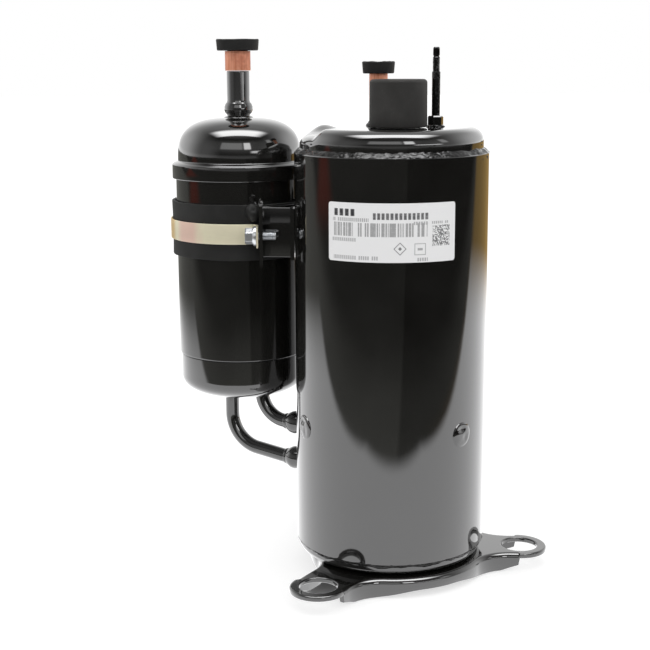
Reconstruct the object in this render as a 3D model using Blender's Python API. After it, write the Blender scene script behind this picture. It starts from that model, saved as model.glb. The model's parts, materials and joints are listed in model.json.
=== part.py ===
"""Hermetic twin-rotary refrigeration compressor with its suction accumulator.

Metres, +Z up. The origin is on the shell's axis, on the flat underside of the bottom cap, at the
level of the floor. +X points to the right, and the accumulator stands at SUCTION_AZIMUTH.
"""

import math

import bmesh
import bpy
from mathutils import Matrix, Vector

mm = 0.001
GAP = 0.3 * mm  # clearance between pieces that touch on the real compressor
RUN = 0.25 * mm  # running clearance of a turning or sliding piece

# ---- shell, from the outside ----
SHELL_RADIUS = 58.5 * mm
SHELL_WALL = 3.0 * mm
SHELL_FOOT = 18.6 * mm  # height of the bottom seam
SHELL_HEIGHT = 240.3 * mm  # from the bottom seam to the top seam
CAP_OVERLAP = 9.0 * mm  # how far each cap goes into the tube
CAP_RISE = 14.7 * mm  # the flat of the top cap over the top seam
CAP_WALL = 3.2 * mm
CAP_ROUND = 6.5 * mm
SEAM_BEAD = 3.2 * mm
CAP_FLAT_RADIUS = 30.0 * mm  # flat underside of the bottom cap
PLUG_WELD_RADIUS = 7.6 * mm
PLUG_WELD_RISE = 0.8 * mm
PLUG_WELD_AZIMUTHS = (-156.0, -47.5, 78.0)

# ---- base plate ----
PLATE_TOP = 11.0 * mm
PLATE_WALL = 3.0 * mm
EAR_AZIMUTHS = (-4.4, -124.4, 115.6)
EAR_REACH = 82.3 * mm  # shell axis to hole centre
EAR_HOLE_RADIUS = 11.25 * mm
EAR_RIM = 5.75 * mm
WAIST_RADIUS = 62.0 * mm
CUT_WAIST_RADIUS = 50.5 * mm  # on the accumulator's side, where the plate is cut back
CUT_AFTER = 115.6  # azimuth of the ear that the cut-back side follows
WAIST_FILLET = 24.0 * mm
PLATE_HOLE_RADIUS = 46.0 * mm
SKIRT_RELIEF = 3.9 * mm  # how far the skirt's edge clears the floor at the waist
SKIRT_END_LIFT = 3.5 * mm
SKIRT_INSET = 0.2 * mm  # the skirt stands this far inside the edge of the plate

# ---- name label ----
LABEL_FROM, LABEL_TO = -131.4, -56.0
LABEL_LOW, LABEL_HIGH = 200.2 * mm, 233.8 * mm
LABEL_WALL = 0.3 * mm

# ---- what stands on the top cap ----
TERMINAL_AT = (3.0 * mm, -12.0 * mm)
TERMINAL_RADIUS = 13.0 * mm
PIN_RADIUS = 1.6 * mm
PIN_CIRCLE = 6.5 * mm
COVER_RADIUS = 17.0 * mm
COVER_HEIGHT = 29.4 * mm
COVER_WALL = 1.8 * mm
COVER_TOP_WALL = 2.5 * mm
STUD_AT = (26.0 * mm, -3.0 * mm)
STUD_RADIUS = 2.45 * mm
STUD_NECK_RADIUS = 2.1 * mm
STUD_LENGTH = 46.0 * mm
STUD_NECK = 32.0 * mm
STUD_HEX = 4.9 * mm
STUD_HEX_HEIGHT = 6.2 * mm
DISCHARGE_AT = (-7.0 * mm, 15.0 * mm)
DISCHARGE_RADIUS = 5.6 * mm
DISCHARGE_BORE = 4.6 * mm
DISCHARGE_RISE = 34.4 * mm  # from the flat of the cap to where the plug stops
DISCHARGE_PLUG_RADIUS = 9.75 * mm
DISCHARGE_PLUG_HEIGHT = 7.4 * mm
DISCHARGE_PLUG_LAP = 3.4 * mm  # how far the plug's skirt comes down over the pipe

# ---- accumulator ----
SUCTION_AZIMUTH = 150.0
TANK_STANDOFF = 49.5 * mm  # from the shell's wall to the tank's axis
TANK_RADIUS = 40.9 * mm
TANK_WALL = 2.0 * mm
TANK_LOW, TANK_HIGH = 126.6 * mm, 249.0 * mm
TANK_CAP_OVERLAP = 9.5 * mm
TANK_COLLAR_WALL = 1.9 * mm
TANK_DOME_RISE = 27.0 * mm
TANK_BOTTOM_DEPTH = 29.5 * mm
INLET_RADIUS = 7.25 * mm
INLET_BORE = 5.6 * mm
INLET_TOP = 306.2 * mm
INLET_BEAD_RADIUS = 9.0 * mm
INLET_BEAD_LENGTH = 8.6 * mm
STUB_RADIUS = 8.05 * mm
STUB_BORE = 7.0 * mm
STUB_TOP = 318.6 * mm
SUCTION_PLUG_RADIUS = 13.4 * mm
SUCTION_PLUG_HEIGHT = 7.2 * mm
PLUG_STEM = 9.0 * mm
BAFFLE_Z = 234.0 * mm
STANDPIPE_TOP = 222.0 * mm

# ---- outlet tubes ----
TUBE_RADIUS = 4.5 * mm
TUBE_WALL = 0.9 * mm
UPPER_TUBE_INSET = 14.4 * mm  # from the tank's axis towards the shell
LOWER_TUBE_OFFSET = 9.0 * mm  # from the tank's axis away from the shell
UPPER_BEND = 18.0 * mm
LOWER_BEND = 22.0 * mm
TUBE_FALL = 7.0  # degrees that a tube still falls after its bend
NIPPLE_RADIUS = 7.6 * mm
NIPPLE_LENGTH = 16.2 * mm

# ---- holder ----
SLEEVE_WALL = 2.2 * mm
SLEEVE_LOW, SLEEVE_HIGH = 191.5 * mm, 225.8 * mm
STRAP_WALL = 1.0 * mm
STRAP_LOW, STRAP_HIGH = 201.7 * mm, 214.2 * mm
BRACKET_WALL = 3.0 * mm
BRACKET_STEP = 0.5 * mm  # how much thinner the ears and webs are than the saddle that they grow from
BRACKET_LOW, BRACKET_HIGH = 193.7 * mm, 225.0 * mm
BRACKET_HALF_ANGLE = 41.0
EAR_TURN = 60.0  # direction of the clamp ears, from the line between the two axes
CLAMP_EAR_LENGTH = 18.0 * mm
CLAMP_EAR_LOW, CLAMP_EAR_HIGH = 190.2 * mm, 231.6 * mm
FOOT_ARC = 13.0  # degrees of shell that a bracket foot covers
SCREW_RADIUS = 2.6 * mm
SCREW_LENGTH = 12.0 * mm
SCREW_FLANGE_RADIUS = 6.1 * mm
SCREW_FLANGE = 2.2 * mm
SCREW_HEX = 5.2 * mm
SCREW_HEAD = 4.6 * mm

# ---- pump ----
LOWER_PORT_Z = 57.5 * mm
UPPER_PORT_Z = 81.3 * mm
CYLINDER_HEIGHT = 15.4 * mm
CYLINDER_BORE = 23.0 * mm
CYLINDER_RADIUS = 47.5 * mm
ECCENTRICITY = 3.7 * mm
ROLLER_RADIUS = CYLINDER_BORE - ECCENTRICITY - GAP
ECCENTRIC_RADIUS = 13.6 * mm
SHAFT_RADIUS = 8.0 * mm
OIL_BORE = 3.0 * mm
BEARING_FLANGE = 9.8 * mm
MAIN_HUB = 28.0 * mm  # length of the main bearing's hub over its flange
LOWER_HUB = 12.0 * mm
HUB_RADIUS = 13.0 * mm
VANE_AZIMUTH = 172.0
VANE_WIDTH = 3.2 * mm
VANE_LENGTH = 20.0 * mm
SPRING_RADIUS = 3.0 * mm
SPRING_WIRE = 0.5 * mm
PUMP_BOLT_COUNT = 5
PUMP_BOLT_CIRCLE = 40.0 * mm
PUMP_BOLT_RADIUS = 2.5 * mm
PUMP_BOLT_HEX = 4.4 * mm
PUMP_BOLT_HEAD = 4.0 * mm
MUFFLER_WALL = 1.2 * mm
MUFFLER_RISE = 15.0 * mm
MUFFLER_RADIUS = 33.5 * mm
VALVE_AZIMUTH = 199.0
VALVE_ROOT_AZIMUTH = 262.0
VALVE_CIRCLE = 24.0 * mm
REED_WALL = 0.5 * mm
REED_WIDTH = 7.0 * mm
RETAINER_TILT = 10.0

# ---- motor ----
STACK_LOW, STACK_HIGH = 146.0 * mm, 214.0 * mm
SLOT_COUNT = 24
SLOT_WIDTH = 3.6 * mm
SLOT_DEPTH = 13.0 * mm
SLOT_MOUTH = 1.4 * mm
STATOR_BORE = 31.0 * mm
AIR_GAP = 0.5 * mm
END_TURN_LIFT = 2.0 * mm  # the end turns stand this far off the stack
END_TURN_HEIGHT = 17.0 * mm
BAR_COUNT = 12
BAR_WIDTH = 2.6 * mm
BAR_DEPTH = 6.0 * mm
BAR_CIRCLE = 25.0 * mm
END_RING_HEIGHT = 5.0 * mm
BALANCE_HEIGHT = 9.0 * mm
SHAFT_TOP = 226.0 * mm

# ---- what follows from these ----
SHELL_TOP = SHELL_FOOT + SHELL_HEIGHT
SHELL_BORE = SHELL_RADIUS - SHELL_WALL
CAP_RADIUS = SHELL_BORE - GAP
CAP_TOP = SHELL_TOP + CAP_RISE
DISCHARGE_TOP = CAP_TOP + DISCHARGE_RISE
DISCHARGE_PLUG_LOW = DISCHARGE_TOP - DISCHARGE_PLUG_LAP
DISCHARGE_PLUG_HIGH = DISCHARGE_PLUG_LOW + DISCHARGE_PLUG_HEIGHT
TANK_REACH = SHELL_RADIUS + TANK_STANDOFF
UPPER_TUBE_REACH = TANK_REACH - UPPER_TUBE_INSET
LOWER_TUBE_REACH = TANK_REACH + LOWER_TUBE_OFFSET
EAR_RADIUS = EAR_HOLE_RADIUS + EAR_RIM
TANK_AT = (
    TANK_REACH * math.cos(math.radians(SUCTION_AZIMUTH)),
    TANK_REACH * math.sin(math.radians(SUCTION_AZIMUTH)),
)
TANK_BORE = TANK_RADIUS - TANK_WALL
TANK_DOME_RADIUS = TANK_RADIUS - 1.5 * mm
DOME_BASE = TANK_HIGH + 1.5 * mm
DOME_TOP = DOME_BASE + TANK_DOME_RISE
SLEEVE_RADIUS = TANK_RADIUS + GAP + SLEEVE_WALL
SADDLE_RADIUS = SLEEVE_RADIUS + GAP
LOWER_CYLINDER = (LOWER_PORT_Z - CYLINDER_HEIGHT / 2, LOWER_PORT_Z + CYLINDER_HEIGHT / 2)
UPPER_CYLINDER = (UPPER_PORT_Z - CYLINDER_HEIGHT / 2, UPPER_PORT_Z + CYLINDER_HEIGHT / 2)
MIDDLE_PLATE = (LOWER_CYLINDER[1] + GAP, UPPER_CYLINDER[0] - GAP)
MAIN_FLANGE = (UPPER_CYLINDER[1] + GAP, UPPER_CYLINDER[1] + GAP + BEARING_FLANGE)
LOWER_FLANGE = (LOWER_CYLINDER[0] - GAP - BEARING_FLANGE, LOWER_CYLINDER[0] - GAP)
SHAFT_LOW = LOWER_FLANGE[0] - LOWER_HUB - 3.0 * mm
CRANK_AZIMUTH = VANE_AZIMUTH + 90.0  # direction of the upper eccentric, square to the vanes
ROTOR_RADIUS = STATOR_BORE - AIR_GAP

FINE = 36  # facets of a large round piece
ROUND = 20  # facets of a small one
COARSE = 10  # facets of a wire, a pin or a bolt


# ---------------------------------------------------------------- shapes


def polar(radius, azimuth):
    angle = math.radians(azimuth)
    return radius * math.cos(angle), radius * math.sin(angle)


def arc(centre, radius, first, last, count):
    """count + 1 points of an arc, between two azimuths in degrees."""
    points = []
    for step in range(count + 1):
        x, y = polar(radius, first + (last - first) * step / count)
        points.append((centre[0] + x, centre[1] + y))
    return points


def finished(bm, merge=1e-7):
    bmesh.ops.remove_doubles(bm, verts=bm.verts, dist=merge)
    bmesh.ops.recalc_face_normals(bm, faces=bm.faces)
    return bm


def turned(profile, steps=FINE):
    """A full turn of a profile of (radius, height) points; it is closed unless it ends on the axis."""
    bm = bmesh.new()
    verts = [bm.verts.new((radius, 0, height)) for radius, height in profile]
    edges = [bm.edges.new(pair) for pair in zip(verts, verts[1:])]
    if profile[0][0] > 0 or profile[-1][0] > 0:
        edges.append(bm.edges.new((verts[-1], verts[0])))
    bmesh.ops.spin(
        bm, geom=verts + edges, cent=(0, 0, 0), axis=(0, 0, 1), angle=math.tau, steps=steps, use_merge=True
    )
    return finished(bm)


def part_turned(profile, first, last, steps):
    """A turn of a closed profile between two azimuths, with flat ends."""
    bm = bmesh.new()
    face = bm.faces.new([bm.verts.new((radius, 0, height)) for radius, height in profile])
    turn = Matrix.Rotation(math.radians(first), 3, "Z")
    bmesh.ops.rotate(bm, verts=bm.verts, cent=(0, 0, 0), matrix=turn)
    bmesh.ops.spin(
        bm,
        geom=[face, *face.edges, *face.verts],
        cent=(0, 0, 0),
        axis=(0, 0, 1),
        angle=math.radians(last - first),
        steps=steps,
    )
    return finished(bm)


def prism(outline, low, high):
    """An upright prism over an outline of (x, y) points."""
    bm = bmesh.new()
    face = bm.faces.new([bm.verts.new((x, y, low)) for x, y in outline])
    grown = bmesh.ops.extrude_face_region(bm, geom=[face])["geom"]
    top = [item for item in grown if isinstance(item, bmesh.types.BMVert)]
    bmesh.ops.translate(bm, verts=top, vec=(0, 0, high - low))
    return finished(bm)


def ring(outer, inner, low, high, steps=FINE):
    return turned([(outer, high), (outer, low), (inner, low), (inner, high)], steps)


def disc(radius, low, high, steps=FINE):
    return turned([(0, high), (radius, high), (radius, low), (0, low)], steps)


def moved(bm, offset=(0, 0, 0), matrix=None):
    """The same shape, turned by a matrix about the origin and then shifted."""
    if matrix is not None:
        bm.transform(matrix.to_4x4())
    bmesh.ops.translate(bm, verts=bm.verts, vec=offset)
    return bm


def rod(radius, start, end, steps=ROUND):
    """A straight round bar between two points."""
    start, end = Vector(start), Vector(end)
    bm = bmesh.new()
    along = (end - start).to_track_quat("Z", "Y").to_matrix()
    length = (end - start).length
    bmesh.ops.create_cone(bm, cap_ends=True, segments=steps, radius1=radius, radius2=radius, depth=length)
    return moved(bm, (start + end) / 2, along)


def block(size, centre, azimuth=0.0):
    """A box whose first side runs along an azimuth."""
    bm = bmesh.new()
    bmesh.ops.create_cube(bm, size=1)
    bmesh.ops.scale(bm, vec=size, verts=bm.verts)
    return moved(bm, centre, Matrix.Rotation(math.radians(azimuth), 3, "Z"))


def together(*shapes):
    """Several separate shapes in one, for cutting with."""
    bm = bmesh.new()
    for shape in shapes:
        mesh = bpy.data.meshes.new("shape")
        shape.to_mesh(mesh)
        bm.from_mesh(mesh)
        bpy.data.meshes.remove(mesh)
    return bm


def swept(route, side, outer, inner=0.0, steps=COARSE):
    """A round bar, or a tube if it has an inner radius, along a route in the plane square to side."""
    route = [Vector(point) for point in route]
    side = Vector(side)
    bm = bmesh.new()
    walls = [outer, inner] if inner else [outer]
    loops = {radius: [] for radius in walls}
    for index, point in enumerate(route):
        along = route[min(index + 1, len(route) - 1)] - route[max(index - 1, 0)]
        across = side.cross(along.normalized())
        for radius in walls:
            turns = [math.tau * step / steps for step in range(steps)]
            circle = [side * math.cos(turn) * radius + across * math.sin(turn) * radius for turn in turns]
            loops[radius].append([bm.verts.new(point + spoke) for spoke in circle])
    for radius in walls:
        for near, far in zip(loops[radius], loops[radius][1:]):
            for step in range(steps):
                after = (step + 1) % steps
                bm.faces.new((near[step], near[after], far[after], far[step]))
    for end in (0, -1):
        if not inner:
            bm.faces.new(loops[outer][end])
            continue
        for step in range(steps):
            after = (step + 1) % steps
            rim, bore = loops[outer][end], loops[inner][end]
            bm.faces.new((rim[step], rim[after], bore[after], bore[step]))
    return finished(bm)


def sheet(path, wall, low, high):
    """Sheet metal of one thickness, standing on edge along a path of (x, y) points."""
    path = [Vector(point) for point in path]
    sides = ([], [])
    for index, point in enumerate(path):
        before = (point - path[max(index - 1, 0)]).normalized()
        after = (path[min(index + 1, len(path) - 1)] - point).normalized()
        mean = (before + after).normalized()
        known = after if index == 0 else before
        reach = wall / 2 / max(mean.dot(known), 0.3)
        across = Vector((-mean.y, mean.x)) * reach
        sides[0].append(point + across)
        sides[1].append(point - across)
    return prism([tuple(point) for point in sides[0] + sides[1][::-1]], low, high)


# ---------------------------------------------------------------- objects


def clear_scene():
    for obj in list(bpy.data.objects):
        bpy.data.objects.remove(obj, do_unlink=True)


def material(name, colour, roughness, metallic=0.0):
    made = bpy.data.materials.new(name)
    made.use_nodes = True
    shader = made.node_tree.nodes["Principled BSDF"]
    shader.inputs["Base Color"].default_value = (*colour, 1.0)
    shader.inputs["Roughness"].default_value = roughness
    shader.inputs["Metallic"].default_value = metallic
    made.diffuse_color = (*colour, 1.0)
    return made


def piece(name, bm, look, location=(0, 0, 0), turn=None, parent=None):
    mesh = bpy.data.meshes.new(name)
    bm.to_mesh(mesh)
    bm.free()
    mesh.shade_smooth()
    mesh.set_sharp_from_angle(angle=math.radians(35))
    mesh.materials.append(look)
    obj = bpy.data.objects.new(name, mesh)
    obj.location = location
    if turn is not None:
        obj.rotation_euler = turn
    obj.parent = parent
    bpy.context.scene.collection.objects.link(obj)
    return obj


def shape_by(obj, bm, operation):
    """A Boolean with a shape given in the object's own coordinates."""
    mesh = bpy.data.meshes.new("tool")
    bm.to_mesh(mesh)
    bm.free()
    tool = bpy.data.objects.new(f"{obj.name}_{operation.lower()}", mesh)
    tool.parent = obj
    tool.hide_render = True
    tool.display_type = "WIRE"
    bpy.context.scene.collection.objects.link(tool)
    boolean = obj.modifiers.new(operation.title(), "BOOLEAN")
    boolean.operation = operation
    boolean.object = tool
    return obj


def cut(obj, *shapes):
    for bm in shapes:
        shape_by(obj, bm, "DIFFERENCE")
    return obj


def join(obj, *shapes):
    for bm in shapes:
        shape_by(obj, bm, "UNION")
    return obj


def at(place, height=0.0):
    return (place[0], place[1], height)


# ---------------------------------------------------------------- shell


def port_holes(radius, near, far):
    """Cutters along both suction ports, between two distances from the shell's axis."""
    holes = []
    for height in (LOWER_PORT_Z, UPPER_PORT_Z):
        start, end = polar(near, SUCTION_AZIMUTH), polar(far, SUCTION_AZIMUTH)
        holes.append(rod(radius, at(start, height), at(end, height)))
    return together(*holes)


def build_shell(enamel, weld, paper):
    tube = piece("shell_tube", ring(SHELL_RADIUS, SHELL_BORE, SHELL_FOOT, SHELL_TOP), enamel)
    cut(tube, port_holes(TUBE_RADIUS + RUN, SHELL_BORE - SHELL_WALL, SHELL_RADIUS + SHELL_WALL))
    for azimuth in PLUG_WELD_AZIMUTHS:
        height = (MAIN_FLANGE[0] + MAIN_FLANGE[1]) / 2
        start = polar(SHELL_RADIUS - SHELL_WALL / 2, azimuth)
        end = polar(SHELL_RADIUS + PLUG_WELD_RISE, azimuth)
        join(tube, rod(PLUG_WELD_RADIUS, at(start, height), at(end, height), COARSE))

    inner = CAP_RADIUS - CAP_WALL
    shoulder = CAP_RADIUS - CAP_ROUND
    outline = arc((shoulder, CAP_TOP - CAP_ROUND), CAP_ROUND, 0, 90, 3)
    under = arc((shoulder, CAP_TOP - CAP_ROUND), CAP_ROUND - CAP_WALL, 90, 0, 1)
    profile = [(0, CAP_TOP), *outline[::-1], (CAP_RADIUS, SHELL_TOP - CAP_OVERLAP)]
    profile += [(inner, SHELL_TOP - CAP_OVERLAP), *under[::-1], (0, CAP_TOP - CAP_WALL)]
    top = piece("top_cap", turned(profile), enamel)
    holes = []
    for place, radius in (
        (TERMINAL_AT, TERMINAL_RADIUS + GAP),
        (DISCHARGE_AT, DISCHARGE_RADIUS + GAP),
    ):
        holes.append(moved(disc(radius, CAP_TOP - 3 * CAP_WALL, CAP_TOP + CAP_WALL, ROUND), at(place)))
    cut(top, together(*holes))

    lip = SHELL_RADIUS - 1.0 * mm
    seat = PLATE_TOP + GAP
    bowl = PLATE_HOLE_RADIUS - 2 * GAP
    profile = [
        (0, 0),
        (CAP_FLAT_RADIUS, 0),
        (bowl - 1.0 * mm, 6.0 * mm),
        (bowl, seat),
        (lip - 3.0 * mm, seat),
        (lip, seat + 3.0 * mm),
        (lip, SHELL_FOOT - GAP),
        (CAP_RADIUS, SHELL_FOOT - GAP),
        (CAP_RADIUS, SHELL_FOOT + CAP_OVERLAP),
        (inner, SHELL_FOOT + CAP_OVERLAP),
        (inner, seat + CAP_WALL + 2.0 * mm),
        (bowl - CAP_WALL, seat + CAP_WALL),
        (CAP_FLAT_RADIUS - 1.0 * mm, CAP_WALL),
        (0, CAP_WALL),
    ]
    piece("bottom_cap", turned(profile), enamel)

    low, high = SHELL_TOP + GAP, SHELL_TOP + GAP + SEAM_BEAD
    bead = [(CAP_RADIUS + GAP, high), (SHELL_RADIUS - 0.9 * mm, low + 1.6 * mm), (SHELL_RADIUS, low)]
    piece("top_seam_weld", turned(bead + [(CAP_RADIUS + GAP, low)]), weld)

    inside = SHELL_RADIUS + GAP
    band = [(inside + LABEL_WALL, LABEL_HIGH), (inside + LABEL_WALL, LABEL_LOW)]
    band += [(inside, LABEL_LOW), (inside, LABEL_HIGH)]
    piece("name_label", part_turned(band, LABEL_FROM, LABEL_TO, 12), paper)


def waist_after(azimuth):
    """The plate's radius between the ear at this azimuth and the next one."""
    return CUT_WAIST_RADIUS if azimuth == CUT_AFTER else WAIST_RADIUS


def ear_side(waist_radius):
    """Half of one ear's outline in its own frame: the tip, the side, the fillet and the waist."""
    reach = waist_radius + WAIST_FILLET
    offset = EAR_RADIUS + WAIST_FILLET
    start = math.sqrt(reach**2 - offset**2)
    turn = math.degrees(math.atan2(offset, start))
    tip = arc((EAR_REACH, 0), EAR_RADIUS, 0, 90, 6)
    fillet = arc((start, offset), WAIST_FILLET, -90, turn - 180, 3)
    waist = arc((0, 0), waist_radius, turn, 60, 4)
    return tip, fillet, waist[1:]


def in_ear_frame(points, azimuth, flip=False):
    angle = math.radians(azimuth)
    side = -1 if flip else 1
    return [
        (x * math.cos(angle) - side * y * math.sin(angle), x * math.sin(angle) + side * y * math.cos(angle))
        for x, y in points
    ]


def skirt(azimuth):
    """The turned-down edge from one ear to the next, lower beside the ears than at the waist."""
    tip, fillet, waist = ear_side(waist_after(azimuth))
    half = [tip[-1], ((tip[-1][0] + fillet[0][0]) / 2 - 2.0 * mm, tip[-1][1]), *fillet, *waist]
    flat = len(fillet) + 2
    lows = [SKIRT_END_LIFT] + [0.0] * (flat - 1)
    lows += [min(SKIRT_RELIEF, SKIRT_RELIEF * (step + 1) / 2) for step in range(len(waist))]
    path = in_ear_frame(half, azimuth) + in_ear_frame(half[-2::-1], azimuth + 120.0, flip=True)
    lows = lows + lows[-2::-1]
    high = PLATE_TOP - PLATE_WALL / 2
    bm = bmesh.new()
    rows = []
    for index, point in enumerate(path):
        before, after = path[max(index - 1, 0)], path[min(index + 1, len(path) - 1)]
        along = Vector((after[0] - before[0], after[1] - before[1])).normalized()
        across = Vector((-along.y, along.x))
        inward = Vector(point) + across * PLATE_WALL
        outward = Vector(point) + across * SKIRT_INSET
        corners = [(outward, lows[index]), (outward, high), (inward, high), (inward, lows[index])]
        rows.append([bm.verts.new((spot.x, spot.y, height)) for spot, height in corners])
    for near, far in zip(rows, rows[1:]):
        for step in range(4):
            after = (step + 1) % 4
            bm.faces.new((near[step], near[after], far[after], far[step]))
    bm.faces.new(rows[0])
    bm.faces.new(rows[-1])
    return finished(bm)


def build_base_plate(enamel):
    ears = sorted(EAR_AZIMUTHS)
    outline = []
    for previous, azimuth in zip([ears[-1], *ears], ears):
        tip, fillet, waist = ear_side(waist_after(previous))
        outline += in_ear_frame([*tip, *fillet, *waist][:0:-1], azimuth, flip=True)[1:]
        tip, fillet, waist = ear_side(waist_after(azimuth))
        outline += in_ear_frame([*tip, *fillet, *waist], azimuth)
    plate = piece("base_plate", prism(outline, PLATE_TOP - PLATE_WALL, PLATE_TOP), enamel)
    for azimuth in EAR_AZIMUTHS:
        join(plate, skirt(azimuth))
    holes = [disc(PLATE_HOLE_RADIUS, -PLATE_TOP, 2 * PLATE_TOP)]
    for azimuth in EAR_AZIMUTHS:
        place = at(polar(EAR_REACH, azimuth))
        holes.append(moved(disc(EAR_HOLE_RADIUS, -PLATE_TOP, 2 * PLATE_TOP, ROUND), place))
    cut(plate, together(*holes))


# ---------------------------------------------------------------- top fittings


def build_terminal(steel, pin_metal, rubber):
    seat = CAP_TOP + GAP
    flange = COVER_RADIUS - COVER_WALL - 2 * GAP
    low = CAP_TOP - 1.5 * CAP_WALL
    profile = [(0, seat + 2.0 * mm), (flange, seat + 2.0 * mm), (flange, seat), (TERMINAL_RADIUS, seat)]
    profile += [(TERMINAL_RADIUS, low), (0, low)]
    body = piece("terminal_body", turned(profile, ROUND), steel, at(TERMINAL_AT))
    holes = []
    for number in range(3):
        place = polar(PIN_CIRCLE, 90 + 120 * number)
        holes.append(rod(PIN_RADIUS + GAP, at(place, low - CAP_WALL), at(place, seat + CAP_WALL), COARSE))
        pin = disc(PIN_RADIUS, low - 7.0 * mm, seat + 14.0 * mm, COARSE)
        spot = (TERMINAL_AT[0] + place[0], TERMINAL_AT[1] + place[1], 0)
        piece(f"terminal_pin_{number + 1}", pin, pin_metal, spot)
    cut(body, together(*holes))

    inner = COVER_RADIUS - COVER_WALL
    high = seat + COVER_HEIGHT
    edge = arc((COVER_RADIUS - 2.0 * mm, high - 2.0 * mm), 2.0 * mm, 0, 90, 2)
    profile = [(0, high), *edge[::-1], (COVER_RADIUS, seat), (inner, seat)]
    profile += [(inner, high - COVER_TOP_WALL), (0, high - COVER_TOP_WALL)]
    piece("terminal_cover", turned(profile, 32), rubber, at(TERMINAL_AT))


def build_stud(enamel):
    seat = CAP_TOP + GAP
    stud = turned(
        [
            (0, seat + STUD_LENGTH),
            (STUD_NECK_RADIUS - 0.3 * mm, seat + STUD_LENGTH),
            (STUD_NECK_RADIUS, seat + STUD_LENGTH - 0.8 * mm),
            (STUD_NECK_RADIUS, seat + STUD_NECK),
            (STUD_RADIUS, seat + STUD_NECK - 0.5 * mm),
            (STUD_RADIUS, seat + STUD_HEX_HEIGHT / 2),
            (0, seat + STUD_HEX_HEIGHT / 2),
        ],
        COARSE,
    )
    obj = piece("cover_stud", stud, enamel, at(STUD_AT))
    join(obj, disc(STUD_HEX, seat, seat + STUD_HEX_HEIGHT, 6))


def plug_profile(radius, low, high, bore):
    """A rubber plug: its head with a shallow dish in the top, and its stem."""
    stem = bore - 2 * GAP
    return [
        (0, high - 1.5 * mm),
        (radius - 2.2 * mm, high - 1.5 * mm),
        (radius - 1.6 * mm, high),
        (radius, high),
        (radius - 0.6 * mm, low),
        (stem, low),
        (stem - 0.5 * mm, low - PLUG_STEM),
        (0, low - PLUG_STEM),
    ]


def build_discharge(copper, rubber):
    low = CAP_TOP - 4 * CAP_WALL
    tube = ring(DISCHARGE_RADIUS, DISCHARGE_BORE, low, DISCHARGE_TOP - GAP, ROUND)
    piece("discharge_pipe", tube, copper, at(DISCHARGE_AT))
    low, high = DISCHARGE_PLUG_LOW, DISCHARGE_PLUG_HIGH
    bore, outer = DISCHARGE_BORE, DISCHARGE_RADIUS + GAP
    profile = [(0, high - 1.2 * mm), (DISCHARGE_PLUG_RADIUS - 2.0 * mm, high - 1.2 * mm)]
    profile += [(DISCHARGE_PLUG_RADIUS - 1.4 * mm, high), (DISCHARGE_PLUG_RADIUS, high)]
    profile += [(DISCHARGE_PLUG_RADIUS - 0.5 * mm, low), (outer, low), (outer, DISCHARGE_TOP)]
    profile += [(bore - GAP, DISCHARGE_TOP), (bore - GAP, low - PLUG_STEM), (0, low - PLUG_STEM)]
    piece("discharge_plug", turned(profile, ROUND), rubber, at(DISCHARGE_AT))


# ---------------------------------------------------------------- accumulator


def dome(radius, base, rise, power, first, last, count):
    """Points of a domed end, from one share of its height to another."""
    points = []
    for step in range(count + 1):
        share = first + (last - first) * step / count
        points.append((radius * (1 - share**power) ** (1 / power), base + rise * share))
    return points


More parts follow.
